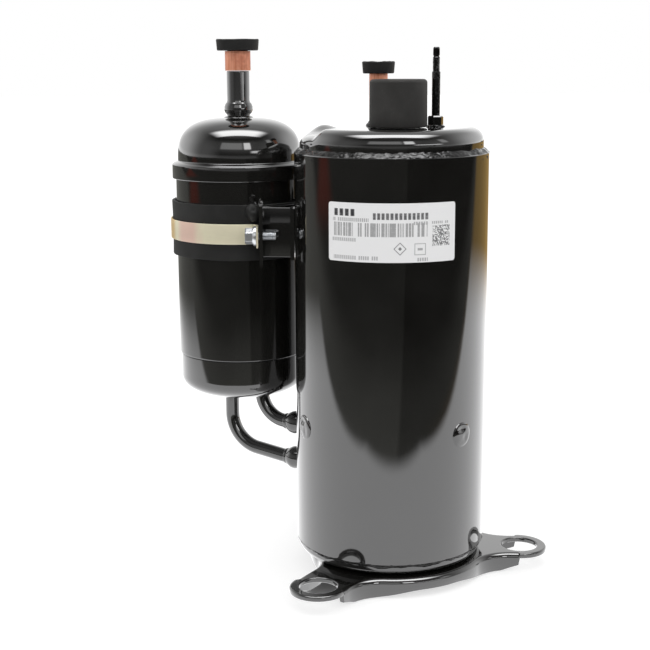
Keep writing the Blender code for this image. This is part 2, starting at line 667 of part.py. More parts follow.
def build_accumulator(enamel, steel, copper, rubber):
    place = at(TANK_AT)
    piece("accumulator_tank", ring(TANK_RADIUS, TANK_BORE, TANK_LOW, TANK_HIGH), enamel, place)

    skirt_inner = TANK_RADIUS + GAP
    skirt_outer = skirt_inner + TANK_COLLAR_WALL
    hole = INLET_BORE + 1.0 * mm + GAP
    outer = dome(TANK_DOME_RADIUS, DOME_BASE, TANK_DOME_RISE, 2.7, 0.0, 0.975, 5)
    inner = dome(TANK_DOME_RADIUS - TANK_WALL, DOME_BASE, TANK_DOME_RISE - TANK_WALL, 2.7, 0.0, 0.97, 3)
    profile = [(hole, DOME_TOP), *outer[::-1], (skirt_outer, TANK_HIGH + GAP)]
    profile += [(skirt_outer, TANK_HIGH - TANK_CAP_OVERLAP), (skirt_inner, TANK_HIGH - TANK_CAP_OVERLAP)]
    profile += [(skirt_inner, TANK_HIGH + GAP), *inner, (hole, DOME_TOP - TANK_WALL)]
    piece("accumulator_top", turned(profile), enamel, place)

    radius = TANK_BORE - GAP
    straight = TANK_BOTTOM_DEPTH / 2
    low = TANK_LOW - straight
    outer = dome(radius, low, straight - TANK_BOTTOM_DEPTH, 2.4, 0.0, 1.0, 4)
    inner = dome(radius - TANK_WALL, low, straight - TANK_BOTTOM_DEPTH + TANK_WALL, 2.4, 0.0, 1.0, 2)
    top = TANK_LOW + TANK_CAP_OVERLAP
    profile = [*outer[::-1], (radius, top), (radius - TANK_WALL, top), *inner]
    bottom = piece("accumulator_bottom", turned(profile), enamel, place)
    holes = []
    for reach in (UPPER_TUBE_REACH, LOWER_TUBE_REACH):
        spot = polar(reach - TANK_REACH, SUCTION_AZIMUTH)
        depth = TANK_LOW - 2 * TANK_BOTTOM_DEPTH
        holes.append(rod(TUBE_RADIUS + GAP, at(spot, depth), at(spot, TANK_LOW), COARSE))
    cut(bottom, together(*holes))

    neck = INLET_BORE + 1.0 * mm
    bead_low = DOME_TOP + GAP
    profile = [
        (INLET_RADIUS, INLET_TOP),
        (INLET_RADIUS, bead_low + INLET_BEAD_LENGTH),
        (INLET_BEAD_RADIUS, bead_low + INLET_BEAD_LENGTH * 0.6),
        (INLET_BEAD_RADIUS, bead_low + INLET_BEAD_LENGTH * 0.3),
        (INLET_RADIUS, bead_low + 0.8 * mm),
        (neck, bead_low),
        (neck, DOME_TOP - 3 * TANK_WALL),
        (INLET_BORE, DOME_TOP - 3 * TANK_WALL),
        (INLET_BORE, INLET_TOP),
    ]
    piece("inlet_pipe", turned(profile, ROUND), enamel, place)

    stub = ring(STUB_RADIUS, STUB_BORE, INLET_TOP + GAP, STUB_TOP, ROUND)
    piece("inlet_stub", stub, copper, place)
    low = STUB_TOP + GAP
    profile = plug_profile(SUCTION_PLUG_RADIUS, low, low + SUCTION_PLUG_HEIGHT, STUB_BORE)
    piece("suction_plug", turned(profile, ROUND), rubber, place)

    baffle = piece("accumulator_baffle", disc(TANK_BORE - GAP, BAFFLE_Z, BAFFLE_Z + 1.2 * mm), steel, place)
    spots = [polar(TANK_BORE * 0.72, 45 + 90 * number) for number in range(4)]
    ends = [(at(spot, BAFFLE_Z - mm), at(spot, BAFFLE_Z + 3 * mm)) for spot in spots]
    cut(baffle, together(*[rod(5.0 * mm, *end, COARSE) for end in ends]))
    low = BAFFLE_Z + 1.2 * mm + GAP
    rim = TANK_BORE - 8.0 * mm
    profile = [(0, low + 9.0 * mm), (rim - 4.0 * mm, low + 6.0 * mm), (rim - 4.0 * mm, low + 0.8 * mm)]
    profile += [(rim, low + 0.8 * mm), (rim, low), (rim - 5.0 * mm, low), (rim - 5.0 * mm, low + 5.2 * mm)]
    piece("inlet_strainer", turned(profile + [(0, low + 8.0 * mm)], ROUND), steel, place)


def tube_route(reach, height, bend):
    """The centre line of an outlet tube in its upright plane, as (reach, height) points."""
    mouth = SHELL_RADIUS + NIPPLE_LENGTH + 2.0 * mm
    fall = math.tan(math.radians(TUBE_FALL))
    turn = 90.0 - TUBE_FALL
    centre_reach = reach - bend
    end = centre_reach + bend * math.cos(math.radians(-turn))
    drop = bend * math.sin(math.radians(turn))
    rise = max(end - mouth, 0.0) * fall
    centre_height = height + rise + drop
    curve = arc((centre_reach, centre_height), bend, 0, -turn, 6)
    inside = CYLINDER_RADIUS - 4.0 * mm
    return [(reach, STANDPIPE_TOP), *curve, (mouth, height), (SHELL_RADIUS, height), (inside, height)]


def build_outlets(enamel):
    side = Vector((*polar(1.0, SUCTION_AZIMUTH + 90), 0))
    routes = {
        "lower": (LOWER_TUBE_REACH, LOWER_PORT_Z, LOWER_BEND),
        "upper": (UPPER_TUBE_REACH, UPPER_PORT_Z, UPPER_BEND),
    }
    for name, (reach, height, bend) in routes.items():
        route = [at(polar(along, SUCTION_AZIMUTH), z) for along, z in tube_route(reach, height, bend)]
        piece(f"outlet_tube_{name}", swept(route, side, TUBE_RADIUS, TUBE_RADIUS - TUBE_WALL), enamel)
        bore = TUBE_RADIUS + 3 * GAP
        length = NIPPLE_LENGTH
        profile = [
            (bore, length),
            (bore + 0.4 * mm, length),
            (NIPPLE_RADIUS - 1.3 * mm, length * 0.86),
            (NIPPLE_RADIUS, length * 0.62),
            (NIPPLE_RADIUS, 0),
            (bore, 0),
        ]
        spot = at(polar(SHELL_RADIUS + GAP, SUCTION_AZIMUTH), height)
        turn = (0, math.radians(90), math.radians(SUCTION_AZIMUTH))
        piece(f"nipple_{name}", turned(profile, 16), enamel, spot, turn)


# ---------------------------------------------------------------- holder


def in_tank_frame(points, flip=False):
    """World (x, y) points from ones about the tank's axis, with x towards the shell."""
    angle = math.radians(SUCTION_AZIMUTH + 180.0)
    side = 1 if flip else -1
    return [
        (
            TANK_AT[0] + x * math.cos(angle) - side * y * math.sin(angle),
            TANK_AT[1] + x * math.sin(angle) + side * y * math.cos(angle),
        )
        for x, y in points
    ]


def clamp_ear(radius):
    """Root and tip of a clamp ear that leaves a ring of this radius, about the tank's axis."""
    root = Vector(polar(radius, BRACKET_HALF_ANGLE))
    return root, root + Vector(polar(CLAMP_EAR_LENGTH, EAR_TURN))


def screw_axis():
    """A point of the clamp screw's axis on the near ear's outer face, and its direction."""
    root, tip = clamp_ear(SADDLE_RADIUS + BRACKET_WALL / 2)
    outward = Vector(polar(1.0, EAR_TURN + 90))
    spot = root.lerp(tip, 0.5) + outward * BRACKET_WALL / 2
    start, end = in_tank_frame([spot, spot + outward])
    return Vector(start), (Vector(end) - Vector(start)).normalized()


def build_holder(enamel, rubber, zinc, bright):
    place = at(TANK_AT)
    sleeve = ring(SLEEVE_RADIUS, TANK_RADIUS + GAP, SLEEVE_LOW, SLEEVE_HIGH)
    piece("rubber_sleeve", sleeve, rubber, place)

    middle = SADDLE_RADIUS + BRACKET_WALL / 2
    root, tip = clamp_ear(middle)
    saddle = arc((0, 0), middle, -BRACKET_HALF_ANGLE, BRACKET_HALF_ANGLE, 12)
    stub = root.lerp(tip, 0.9)
    path = [(stub.x, -stub.y), *saddle, (stub.x, stub.y)]
    plate = sheet(in_tank_frame(path), BRACKET_WALL, BRACKET_LOW, BRACKET_HIGH)
    bracket = piece("holder_bracket", plate, enamel)
    foot = SHELL_RADIUS + GAP + BRACKET_WALL / 2
    for flip in (False, True):
        ear = in_tank_frame([root.lerp(tip, 0.12), tip], flip)
        join(bracket, sheet(ear, BRACKET_WALL - BRACKET_STEP, CLAMP_EAR_LOW, CLAMP_EAR_HIGH))
        turn = -1 if flip else 1
        start = in_tank_frame([root.lerp(tip, 0.1)], flip)[0]
        bearing = math.degrees(math.atan2(start[1], start[0]))
        web = [start, polar(foot, bearing)]
        low, high = BRACKET_LOW + BRACKET_STEP, BRACKET_HIGH - BRACKET_STEP
        join(bracket, sheet(web, BRACKET_WALL - 2 * BRACKET_STEP, low, high))
        pad = arc((0, 0), foot, bearing - FOOT_ARC * 0.2 * turn, bearing + FOOT_ARC * 0.8 * turn, 4)
        join(bracket, sheet(pad, BRACKET_WALL, BRACKET_LOW, BRACKET_HIGH))

    spot, outward = screw_axis()
    height = (STRAP_LOW + STRAP_HIGH) / 2
    through = [at(spot - outward * SCREW_LENGTH, height), at(spot + outward * SCREW_LENGTH, height)]
    cut(bracket, rod(SCREW_RADIUS + GAP, *through))

    band = SLEEVE_RADIUS + GAP + STRAP_WALL / 2
    face = BRACKET_WALL / 2 + GAP + STRAP_WALL / 2
    aside = Vector(polar(face, EAR_TURN + 90))
    ends = [root.lerp(tip, 0.12) + aside, tip + aside]
    leave = math.degrees(math.atan2(ends[0].y, ends[0].x)) + 1.5
    around = arc((0, 0), band, leave, 360 - leave, 30)
    path = [tuple(ends[1]), tuple(ends[0]), *around, (ends[0].x, -ends[0].y), (ends[1].x, -ends[1].y)]
    strap = piece("strap_band", sheet(in_tank_frame(path), STRAP_WALL, STRAP_LOW, STRAP_HIGH), zinc)
    cut(strap, rod(SCREW_RADIUS + GAP, *through))

    start = face + STRAP_WALL / 2 - BRACKET_WALL / 2 + GAP
    profile = [
        (0, start + SCREW_FLANGE + SCREW_HEAD),
        (SCREW_HEX - 0.6 * mm, start + SCREW_FLANGE + SCREW_HEAD),
        (SCREW_HEX, start + SCREW_FLANGE + SCREW_HEAD - 0.8 * mm),
        (SCREW_HEX, start + SCREW_FLANGE / 2),
        (0, start + SCREW_FLANGE / 2),
    ]
    turn = (0, math.radians(90), math.atan2(outward.y, outward.x))
    screw = piece("strap_screw", turned(profile, 6), bright, at(spot, height), turn)
    stem = [(0, start + SCREW_FLANGE), (SCREW_FLANGE_RADIUS, start + SCREW_FLANGE)]
    stem += [(SCREW_FLANGE_RADIUS, start), (SCREW_RADIUS, start)]
    stem += [(SCREW_RADIUS, start - SCREW_LENGTH), (0, start - SCREW_LENGTH)]
    join(screw, turned(stem, 16))


# ---------------------------------------------------------------- pump


def bolt_spots():
    step = 360.0 / PUMP_BOLT_COUNT
    azimuths = [VANE_AZIMUTH + step * (number + 0.5) for number in range(PUMP_BOLT_COUNT)]
    return [polar(PUMP_BOLT_CIRCLE, azimuth) for azimuth in azimuths]


def bolt_holes(low, high):
    reach = CAP_WALL
    ends = [(at(spot, low - reach), at(spot, high + reach)) for spot in bolt_spots()]
    return together(*[rod(PUMP_BOLT_RADIUS + GAP, *end, 8) for end in ends])


def build_crank(iron, brass):
    upper, lower = polar(ECCENTRICITY, CRANK_AZIMUTH), polar(ECCENTRICITY, CRANK_AZIMUTH + 180)
    shaft = piece("crankshaft", disc(SHAFT_RADIUS, SHAFT_LOW, SHAFT_TOP, ROUND), iron)
    for spot, (low, high) in ((upper, UPPER_CYLINDER), (lower, LOWER_CYLINDER)):
        join(shaft, moved(disc(ECCENTRIC_RADIUS, low, high, 32), at(spot)))
    cut(shaft, disc(OIL_BORE, SHAFT_LOW - CAP_WALL, UPPER_CYLINDER[1], COARSE))

    for name, spot, (low, high) in (("upper", upper, UPPER_CYLINDER), ("lower", lower, LOWER_CYLINDER)):
        roller = ring(ROLLER_RADIUS, ECCENTRIC_RADIUS + RUN, low, high, 32)
        piece(f"{name}_roller", roller, iron, at(spot))

    inner, outer = SHAFT_RADIUS + 6.0 * mm, ROTOR_RADIUS - 3.0 * mm
    for name, low, middle in (
        ("upper", STACK_HIGH + GAP + END_RING_HEIGHT + GAP, CRANK_AZIMUTH + 180),
        ("lower", STACK_LOW - GAP - END_RING_HEIGHT - GAP - BALANCE_HEIGHT, CRANK_AZIMUTH),
    ):
        profile = [(inner, low + BALANCE_HEIGHT), (outer, low + BALANCE_HEIGHT), (outer, low), (inner, low)]
        piece(f"{name}_balance_weight", part_turned(profile, middle - 85, middle + 85, 14), brass)


def build_cylinders(iron, tool_steel, spring_steel):
    height = CYLINDER_HEIGHT
    slot = VANE_WIDTH + 2 * RUN
    back = CYLINDER_BORE + VANE_LENGTH
    for name, low in (("upper", UPPER_CYLINDER[0]), ("lower", LOWER_CYLINDER[0])):
        middle = low + height / 2
        body = piece(f"{name}_cylinder", ring(CYLINDER_RADIUS, CYLINDER_BORE, low, low + height), iron)
        cut(body, bolt_holes(low, low + height))
        near = polar(CYLINDER_BORE - 2.0 * mm, SUCTION_AZIMUTH)
        far = polar(CYLINDER_RADIUS + 4.0 * mm, SUCTION_AZIMUTH)
        cut(body, rod(TUBE_RADIUS + RUN, at(near, middle), at(far, middle), 16))
        run = back + 2.0 * mm - (CYLINDER_BORE - 3.0 * mm)
        centre = polar(CYLINDER_BORE - 3.0 * mm + run / 2, VANE_AZIMUTH)
        cut(body, block((run, slot, 2 * height), at(centre, middle), VANE_AZIMUTH))
        ends = polar(back - 6.0 * mm, VANE_AZIMUTH), polar(CYLINDER_RADIUS + 4.0 * mm, VANE_AZIMUTH)
        hole = SPRING_RADIUS + SPRING_WIRE + GAP
        cut(body, rod(hole, at(ends[0], middle), at(ends[1], middle), 16))

        centre = polar(CYLINDER_BORE + VANE_LENGTH / 2, VANE_AZIMUTH)
        vane = block((VANE_LENGTH, VANE_WIDTH, height), (0, 0, 0))
        piece(f"{name}_vane", vane, tool_steel, at(centre, middle), (0, 0, math.radians(VANE_AZIMUTH)))

        turns, points = 4, 28
        start, end = back + GAP + SPRING_WIRE, SHELL_BORE - GAP - SPRING_WIRE - 1.0 * mm
        bm = coil(start, end, turns, points)
        turn = (0, 0, math.radians(VANE_AZIMUTH))
        piece(f"{name}_vane_spring", bm, spring_steel, (0, 0, middle), turn)


def coil(start, end, turns, points):
    """A helical wire round the X axis, capped at both ends."""
    bm = bmesh.new()
    sides = 5
    rings = []
    for index in range(points + 1):
        share = index / points
        angle = math.tau * turns * share
        outward = Vector((0, math.cos(angle), math.sin(angle)))
        centre = Vector((start + (end - start) * share, 0, 0)) + outward * SPRING_RADIUS
        ring_verts = []
        for side in range(sides):
            spoke = math.tau * side / sides
            offset = outward * math.cos(spoke) + Vector((math.sin(spoke), 0, 0))
            ring_verts.append(bm.verts.new(centre + offset * SPRING_WIRE))
        rings.append(ring_verts)
    for near, far in zip(rings, rings[1:]):
        for side in range(sides):
            after = (side + 1) % sides
            bm.faces.new((near[side], near[after], far[after], far[side]))
    bm.faces.new(rings[0])
    bm.faces.new(rings[-1])
    return finished(bm)


def build_bearings(iron):
    hub, bore = HUB_RADIUS, SHAFT_RADIUS + RUN
    low, high = MAIN_FLANGE
    rim = SHELL_BORE - GAP
    profile = [(hub, high + MAIN_HUB), (hub, high), (rim, high), (rim, low)]
    main = piece("main_bearing", turned([*profile, (bore, low), (bore, high + MAIN_HUB)]), iron)
    cut(main, bolt_holes(low, high))
    port = polar(VALVE_CIRCLE - 2.0 * mm, VALVE_AZIMUTH)
    cut(main, rod(2.4 * mm, at(port, low - CAP_WALL), at(port, high + CAP_WALL), COARSE))
    vents = [polar(PUMP_BOLT_CIRCLE + 9.0 * mm, VANE_AZIMUTH + 120 * step) for step in range(3)]
    ends = [(at(spot, low - CAP_WALL), at(spot, high + CAP_WALL)) for spot in vents]
    cut(main, together(*[rod(3.5 * mm, *end, COARSE) for end in ends]))

    low, high = LOWER_FLANGE
    profile = [(CYLINDER_RADIUS, high), (CYLINDER_RADIUS, low), (hub, low), (hub, low - LOWER_HUB)]
    lower = piece("lower_bearing", turned([*profile, (bore, low - LOWER_HUB), (bore, high)]), iron)
    cut(lower, bolt_holes(low, high))
    cut(lower, rod(2.4 * mm, at(port, low - CAP_WALL), at(port, high + CAP_WALL), COARSE))

    low, high = MIDDLE_PLATE
    middle = piece("middle_plate", ring(CYLINDER_RADIUS, ECCENTRIC_RADIUS + GAP, low, high), iron)
    cut(middle, bolt_holes(low, high))


def build_valves(spring_steel, steel):
    port = Vector(polar(VALVE_CIRCLE, VALVE_AZIMUTH))
    root = Vector(polar(VALVE_CIRCLE, VALVE_ROOT_AZIMUTH))
    span = port - root
    length = span.length + REED_WIDTH / 2
    heading = math.atan2(span.y, span.x)
    foot = 6.0 * mm
    for name, seat, up in (("upper", MAIN_FLANGE[1], 1), ("lower", LOWER_FLANGE[0], -1)):
        outline = [(0, -REED_WIDTH / 2), (0, REED_WIDTH / 2), (length - REED_WIDTH / 2, REED_WIDTH / 2)]
        outline += arc((length - REED_WIDTH / 2, 0), REED_WIDTH / 2, 60, -90, 5)
        blade = prism(outline, GAP * up, (GAP + REED_WALL) * up)
        turn = (0, 0, heading)
        piece(f"{name}_reed", blade, spring_steel, at(root, seat), turn)

        height = 2.4 * mm
        side = [(-foot - GAP, GAP), (-GAP, GAP), (-GAP, height - 1.4 * mm)]
        reach = (length - 2.0 * mm, math.tan(math.radians(RETAINER_TILT)) * length)
        side += [(reach[0], reach[1] + height - 1.4 * mm), (reach[0], reach[1] + height), (-GAP, height)]
        side += [(-foot - GAP, height)]
        bm = prism([(x, y * up) for x, y in side], -REED_WIDTH / 2, REED_WIDTH / 2)
        stand = Matrix(((1, 0, 0), (0, 0, -1), (0, 1, 0)))
        piece(f"{name}_retainer", moved(bm, matrix=stand), steel, at(root, seat), turn)


def build_mufflers(steel):
    flange = PUMP_BOLT_CIRCLE + 5.0 * mm
    inner = HUB_RADIUS + 1.2 * mm
    wall = MUFFLER_WALL
    for name, seat, up in (("upper", MAIN_FLANGE[1] + GAP, 1), ("lower", LOWER_FLANGE[0] - GAP, -1)):
        rise = MUFFLER_RISE if up > 0 else LOWER_HUB - 1.5 * mm
        profile = [
            (inner, rise),
            (MUFFLER_RADIUS, rise),
            (MUFFLER_RADIUS + 1.5 * mm, rise - 1.5 * mm),
            (MUFFLER_RADIUS + 1.5 * mm, wall),
            (flange, wall),
            (flange, 0),
            (MUFFLER_RADIUS, 0),
            (MUFFLER_RADIUS, rise - wall),
            (inner, rise - wall),
        ]
        cup = turned([(radius, seat + height * up) for radius, height in profile], ROUND)
        cover = piece(f"{name}_muffler", cup, steel)
        cut(cover, bolt_holes(seat - 2 * wall, seat + 2 * wall))

    low = LOWER_FLANGE[0] - GAP - wall - 3.0 * mm
    seat = MAIN_FLANGE[1] + GAP + wall + GAP
    for number, spot in enumerate(bolt_spots()):
        profile = disc(PUMP_BOLT_RADIUS, low, seat + PUMP_BOLT_HEAD / 2, 8)
        bolt = piece(f"pump_bolt_{number + 1}", profile, steel, at(spot))
        join(bolt, disc(PUMP_BOLT_HEX, seat, seat + PUMP_BOLT_HEAD, 6))


# ---------------------------------------------------------------- motor


def slot_outline(bore, depth, width, mouth, count):
    """The inner outline of a laminated stator: teeth that end on the bore, and slots behind a mouth."""
    outline = []
    for number in range(count):
        azimuth = 360.0 * number / count
        lip = 1.6 * mm
        half_step = 180.0 / count
        corners = [(bore, -mouth / 2), (bore + lip, -mouth / 2), (bore + lip, -width / 2)]
        corners += [(bore + depth, -width / 2)]
        corners += [(x, -y) for x, y in corners[::-1]]
        outline += in_ear_frame(corners, azimuth)
        outline.append(polar(bore, azimuth + half_step))
    return outline


def build_motor(laminations, copper, aluminium):
    stator = piece("stator_core", disc(SHELL_BORE - GAP, STACK_LOW, STACK_HIGH), laminations)
    outline = slot_outline(STATOR_BORE, SLOT_DEPTH, SLOT_WIDTH, SLOT_MOUTH, SLOT_COUNT)
    cut(stator, prism(outline, STACK_LOW - CAP_WALL, STACK_HIGH + CAP_WALL))

    inner, outer = STATOR_BORE + 2.6 * mm, STATOR_BORE + SLOT_DEPTH + 3.0 * mm
    ends = []
    for sign, base in ((1, STACK_HIGH + END_TURN_LIFT), (-1, STACK_LOW - END_TURN_LIFT)):
        far = END_TURN_HEIGHT * sign
        profile = [(inner, base), (outer, base), (outer, base + far * 0.8), (outer - 3.0 * mm, base + far)]
        ends.append(turned([*profile, (inner, base + far)], SLOT_COUNT))
    winding = piece("stator_winding", ends[0], copper)
    join(winding, ends[1])
    bars = []
    bar_depth = SLOT_DEPTH - 1.6 * mm - 2 * GAP
    size = (bar_depth, SLOT_WIDTH - 2 * GAP, STACK_HIGH - STACK_LOW + 4 * END_TURN_LIFT)
    middle = (STACK_LOW + STACK_HIGH) / 2
    for number in range(SLOT_COUNT):
        azimuth = 360.0 * number / SLOT_COUNT
        centre = polar(STATOR_BORE + 1.6 * mm + GAP + bar_depth / 2, azimuth)
        bars.append(block(size, at(centre, middle), azimuth))
    join(winding, together(*bars))

    rotor = piece("rotor_core", ring(ROTOR_RADIUS, SHAFT_RADIUS + GAP, STACK_LOW, STACK_HIGH), laminations)
    slots, bars = [], []
    height = STACK_HIGH - STACK_LOW
    for number in range(BAR_COUNT):
        azimuth = 360.0 * (number + 0.5) / BAR_COUNT
        spot = at(polar(BAR_CIRCLE, azimuth), middle)
        slots.append(block((BAR_DEPTH + 2 * GAP, BAR_WIDTH + 2 * GAP, 2 * height), spot, azimuth))
        bars.append(block((BAR_DEPTH, BAR_WIDTH, height + END_RING_HEIGHT), spot, azimuth))
    cut(rotor, together(*slots))
    ring_outer, ring_inner = ROTOR_RADIUS - mm, SHAFT_RADIUS + 8.0 * mm
    low = STACK_LOW - GAP - END_RING_HEIGHT
    end_ring = ring(ring_outer, ring_inner, low, low + END_RING_HEIGHT, 2 * BAR_COUNT)
    cage = piece("rotor_cage", end_ring, aluminium)
    low = STACK_HIGH + GAP
    join(cage, ring(ring_outer, ring_inner, low, low + END_RING_HEIGHT, 2 * BAR_COUNT), together(*bars))


def build_harness(plastic):
    """The three leads in their sleeve, from the connector on the terminal's pins to the winding."""
    low = CAP_TOP - 1.5 * CAP_WALL - 11.0 * mm
    top = CAP_TOP - 1.5 * CAP_WALL - GAP
    plug = disc(PIN_CIRCLE + 4.5 * mm, low, top, ROUND)
    connector = piece("lead_harness", plug, plastic, at(TERMINAL_AT))
    spots = [polar(PIN_CIRCLE, 90 + 120 * number) for number in range(3)]
    holes = [rod(PIN_RADIUS + GAP, at(s, top - 8.0 * mm), at(s, top + mm), COARSE) for s in spots]
    seat = STACK_HIGH + END_TURN_LIFT + END_TURN_HEIGHT + GAP
    reach = STATOR_BORE + SLOT_DEPTH / 2 + 3.0 * mm
    drop = low - seat
    start = 6.0 * mm
    route = [(start, 0, low + 3.0 * mm), (start, 0, low - drop * 0.1)]
    route += [(start + (reach - start) * s * s, 0, low - drop * (0.1 + 0.62 * s)) for s in (0.35, 0.6, 0.8)]
    route += [(reach, 0, low - drop * 0.82), (reach, 0, seat)]
    shift = (-TERMINAL_AT[0], 0, 0)
    route = [tuple(Vector(p) + Vector(shift) * (0 if i < 2 else 1)) for i, p in enumerate(route)]
    join(connector, swept(route, (0, 1, 0), 2.6 * mm, steps=COARSE))
    cut(connector, together(*holes))


def main():
    clear_scene()
    enamel = material("black_enamel", (0.012, 0.012, 0.013), 0.16)
    weld = material("painted_weld", (0.016, 0.016, 0.017), 0.3)
    paper = material("label_paper", (0.86, 0.87, 0.88), 0.45)
    rubber = material("black_rubber", (0.022, 0.021, 0.02), 0.75)
    cover_rubber = material("cover_rubber", (0.05, 0.05, 0.048), 0.7)
    copper = material("copper_tube", (0.82, 0.36, 0.2), 0.35, 1.0)
    zinc = material("yellow_zinc", (0.78, 0.7, 0.5), 0.35, 0.9)
    bright = material("bright_zinc", (0.82, 0.83, 0.85), 0.25, 1.0)
    steel = material("pressed_steel", (0.45, 0.46, 0.48), 0.4, 1.0)
    iron = material("machined_iron", (0.32, 0.32, 0.33), 0.45, 0.9)
    tool_steel = material("ground_steel", (0.6, 0.61, 0.63), 0.2, 1.0)
    brass = material("brass_weight", (0.72, 0.55, 0.25), 0.4, 1.0)
    laminations = material("laminated_steel", (0.25, 0.26, 0.28), 0.55, 0.9)
    winding = material("enamelled_copper", (0.55, 0.2, 0.07), 0.35, 0.8)
    aluminium = material("cast_aluminium", (0.72, 0.73, 0.74), 0.4, 1.0)
    sleeving = material("lead_sleeving", (0.75, 0.74, 0.68), 0.6)

    build_shell(enamel, weld, paper)
    build_base_plate(enamel)
    build_terminal(steel, bright, cover_rubber)
    build_stud(enamel)
    build_discharge(copper, rubber)
    build_accumulator(enamel, steel, copper, rubber)
    build_outlets(enamel)
    build_holder(enamel, rubber, zinc, bright)
    build_crank(iron, brass)
    build_cylinders(iron, tool_steel, tool_steel)
    build_bearings(iron)
    build_valves(tool_steel, steel)
    build_mufflers(steel)
    build_motor(laminations, winding, aluminium)
    build_harness(sleeving)


main()
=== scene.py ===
import json
import math
import random

import bmesh
import bpy
from mathutils import Matrix, Vector, noise


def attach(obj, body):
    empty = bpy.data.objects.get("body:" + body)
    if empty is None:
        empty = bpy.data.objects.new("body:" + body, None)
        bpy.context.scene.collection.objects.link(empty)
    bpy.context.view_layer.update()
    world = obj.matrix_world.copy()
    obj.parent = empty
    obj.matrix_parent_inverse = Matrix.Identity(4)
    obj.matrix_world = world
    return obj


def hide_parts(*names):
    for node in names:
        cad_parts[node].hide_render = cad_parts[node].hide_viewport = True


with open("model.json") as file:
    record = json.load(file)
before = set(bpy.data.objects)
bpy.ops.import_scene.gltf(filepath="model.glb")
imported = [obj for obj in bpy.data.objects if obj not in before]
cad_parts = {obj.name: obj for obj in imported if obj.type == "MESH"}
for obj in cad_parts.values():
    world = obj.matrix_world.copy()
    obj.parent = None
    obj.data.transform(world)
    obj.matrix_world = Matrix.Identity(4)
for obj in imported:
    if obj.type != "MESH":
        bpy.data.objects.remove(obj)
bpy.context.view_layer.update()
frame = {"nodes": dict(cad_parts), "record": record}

chance = random.Random(20)

mm = 0.001
AROUND = 192  # facets round a large turned piece

# ---- sizes shared by the pieces, as on the drawing ----
SHELL_RADIUS = 58.5 * mm
SHELL_BORE = 55.5 * mm
SHELL_LOW, SHELL_HIGH = 18.6 * mm, 258.9 * mm
CAP_RADIUS = 55.2 * mm
CAP_TOP = 273.6 * mm
SEAT = 273.9 * mm  # what stands on the top cap
COVER_AT = (3.0 * mm, -12.0 * mm)
STUD_AT = (26.0 * mm, -3.0 * mm)
DISCHARGE_AT = (-7.0 * mm, 15.0 * mm)
SUCTION_AZIMUTH = 150.0
TANK_REACH = 108.0 * mm
TANK_AT = (
    TANK_REACH * math.cos(math.radians(SUCTION_AZIMUTH)),
    TANK_REACH * math.sin(math.radians(SUCTION_AZIMUTH)),
)
TANK_RADIUS = 40.9 * mm
SLEEVE_RADIUS = 43.4 * mm
SADDLE_RADIUS = 43.7 * mm
EAR_AZIMUTHS = (-4.4, -124.4, 115.6)
EAR_REACH = 82.3 * mm
EAR_HOLE = 11.25 * mm
EAR_RADIUS = 17.0 * mm
PLATE_TOP = 11.0 * mm


# ---- finishes


def operator(operation, swapped=False):
    """An arithmetic method that adds a Math node; swapped is the reflected form."""

    def apply(self, other):
        return self.sum(operation, *((other, self) if swapped else (self, other)))

    return apply


class Wire:
    """One socket of a finish, which can be used in arithmetic."""

    def __init__(self, tree, socket):
        self.tree, self.socket = tree, socket

    def sum(self, operation, *values):
        return add(self.tree, "ShaderNodeMath", {"operation": operation}, dict(enumerate(values)))

    __add__, __radd__ = operator("ADD"), operator("ADD", True)
    __sub__, __rsub__ = operator("SUBTRACT"), operator("SUBTRACT", True)
    __mul__, __rmul__ = operator("MULTIPLY"), operator("MULTIPLY", True)
    __truediv__, __rtruediv__ = operator("DIVIDE"), operator("DIVIDE", True)
    __pow__ = operator("POWER")
    over, under = operator("MAXIMUM"), operator("MINIMUM")

    def __abs__(self):
        return self.sum("ABSOLUTE", self)

    def rise(self, low, high):
        """0 below low, 1 above high, and smooth between them."""
        ends = {"Value": self, "From Min": low, "From Max": high}
        return add(self.tree, "ShaderNodeMapRange", {"interpolation_type": "SMOOTHSTEP"}, ends)

    def band(self, low, high, soft):
        """1 between low and high, with soft edges."""
        return self.rise(low - soft, low + soft) * (1 - self.rise(high - soft, high + soft))

    def blend(self, low, high):
        """The first colour where this is 0 and the second where it is 1."""
        return add(self.tree, "ShaderNodeMix", {"data_type": "RGBA"}, {0: self, 6: low, 7: high}, 2)


def add(tree, kind, settings=None, sockets=None, out=0):
    """Adds a node: its settings first, then the values or links of its sockets. It returns one output."""
    node = tree.nodes.new(kind)
    for key, value in (settings or {}).items():
        setattr(node, key, value)
    for key, value in (sockets or {}).items():
        feed(tree, node.inputs[key], value)
    return Wire(tree, node.outputs[out])


def feed(tree, socket, value):
    """Links a wire to a socket, or sets the socket's own value."""
    if isinstance(value, Wire):
        tree.links.new(value.socket, socket)
    elif socket.type == "RGBA":
        socket.default_value = (*value, 1.0)
    else:
        socket.default_value = value


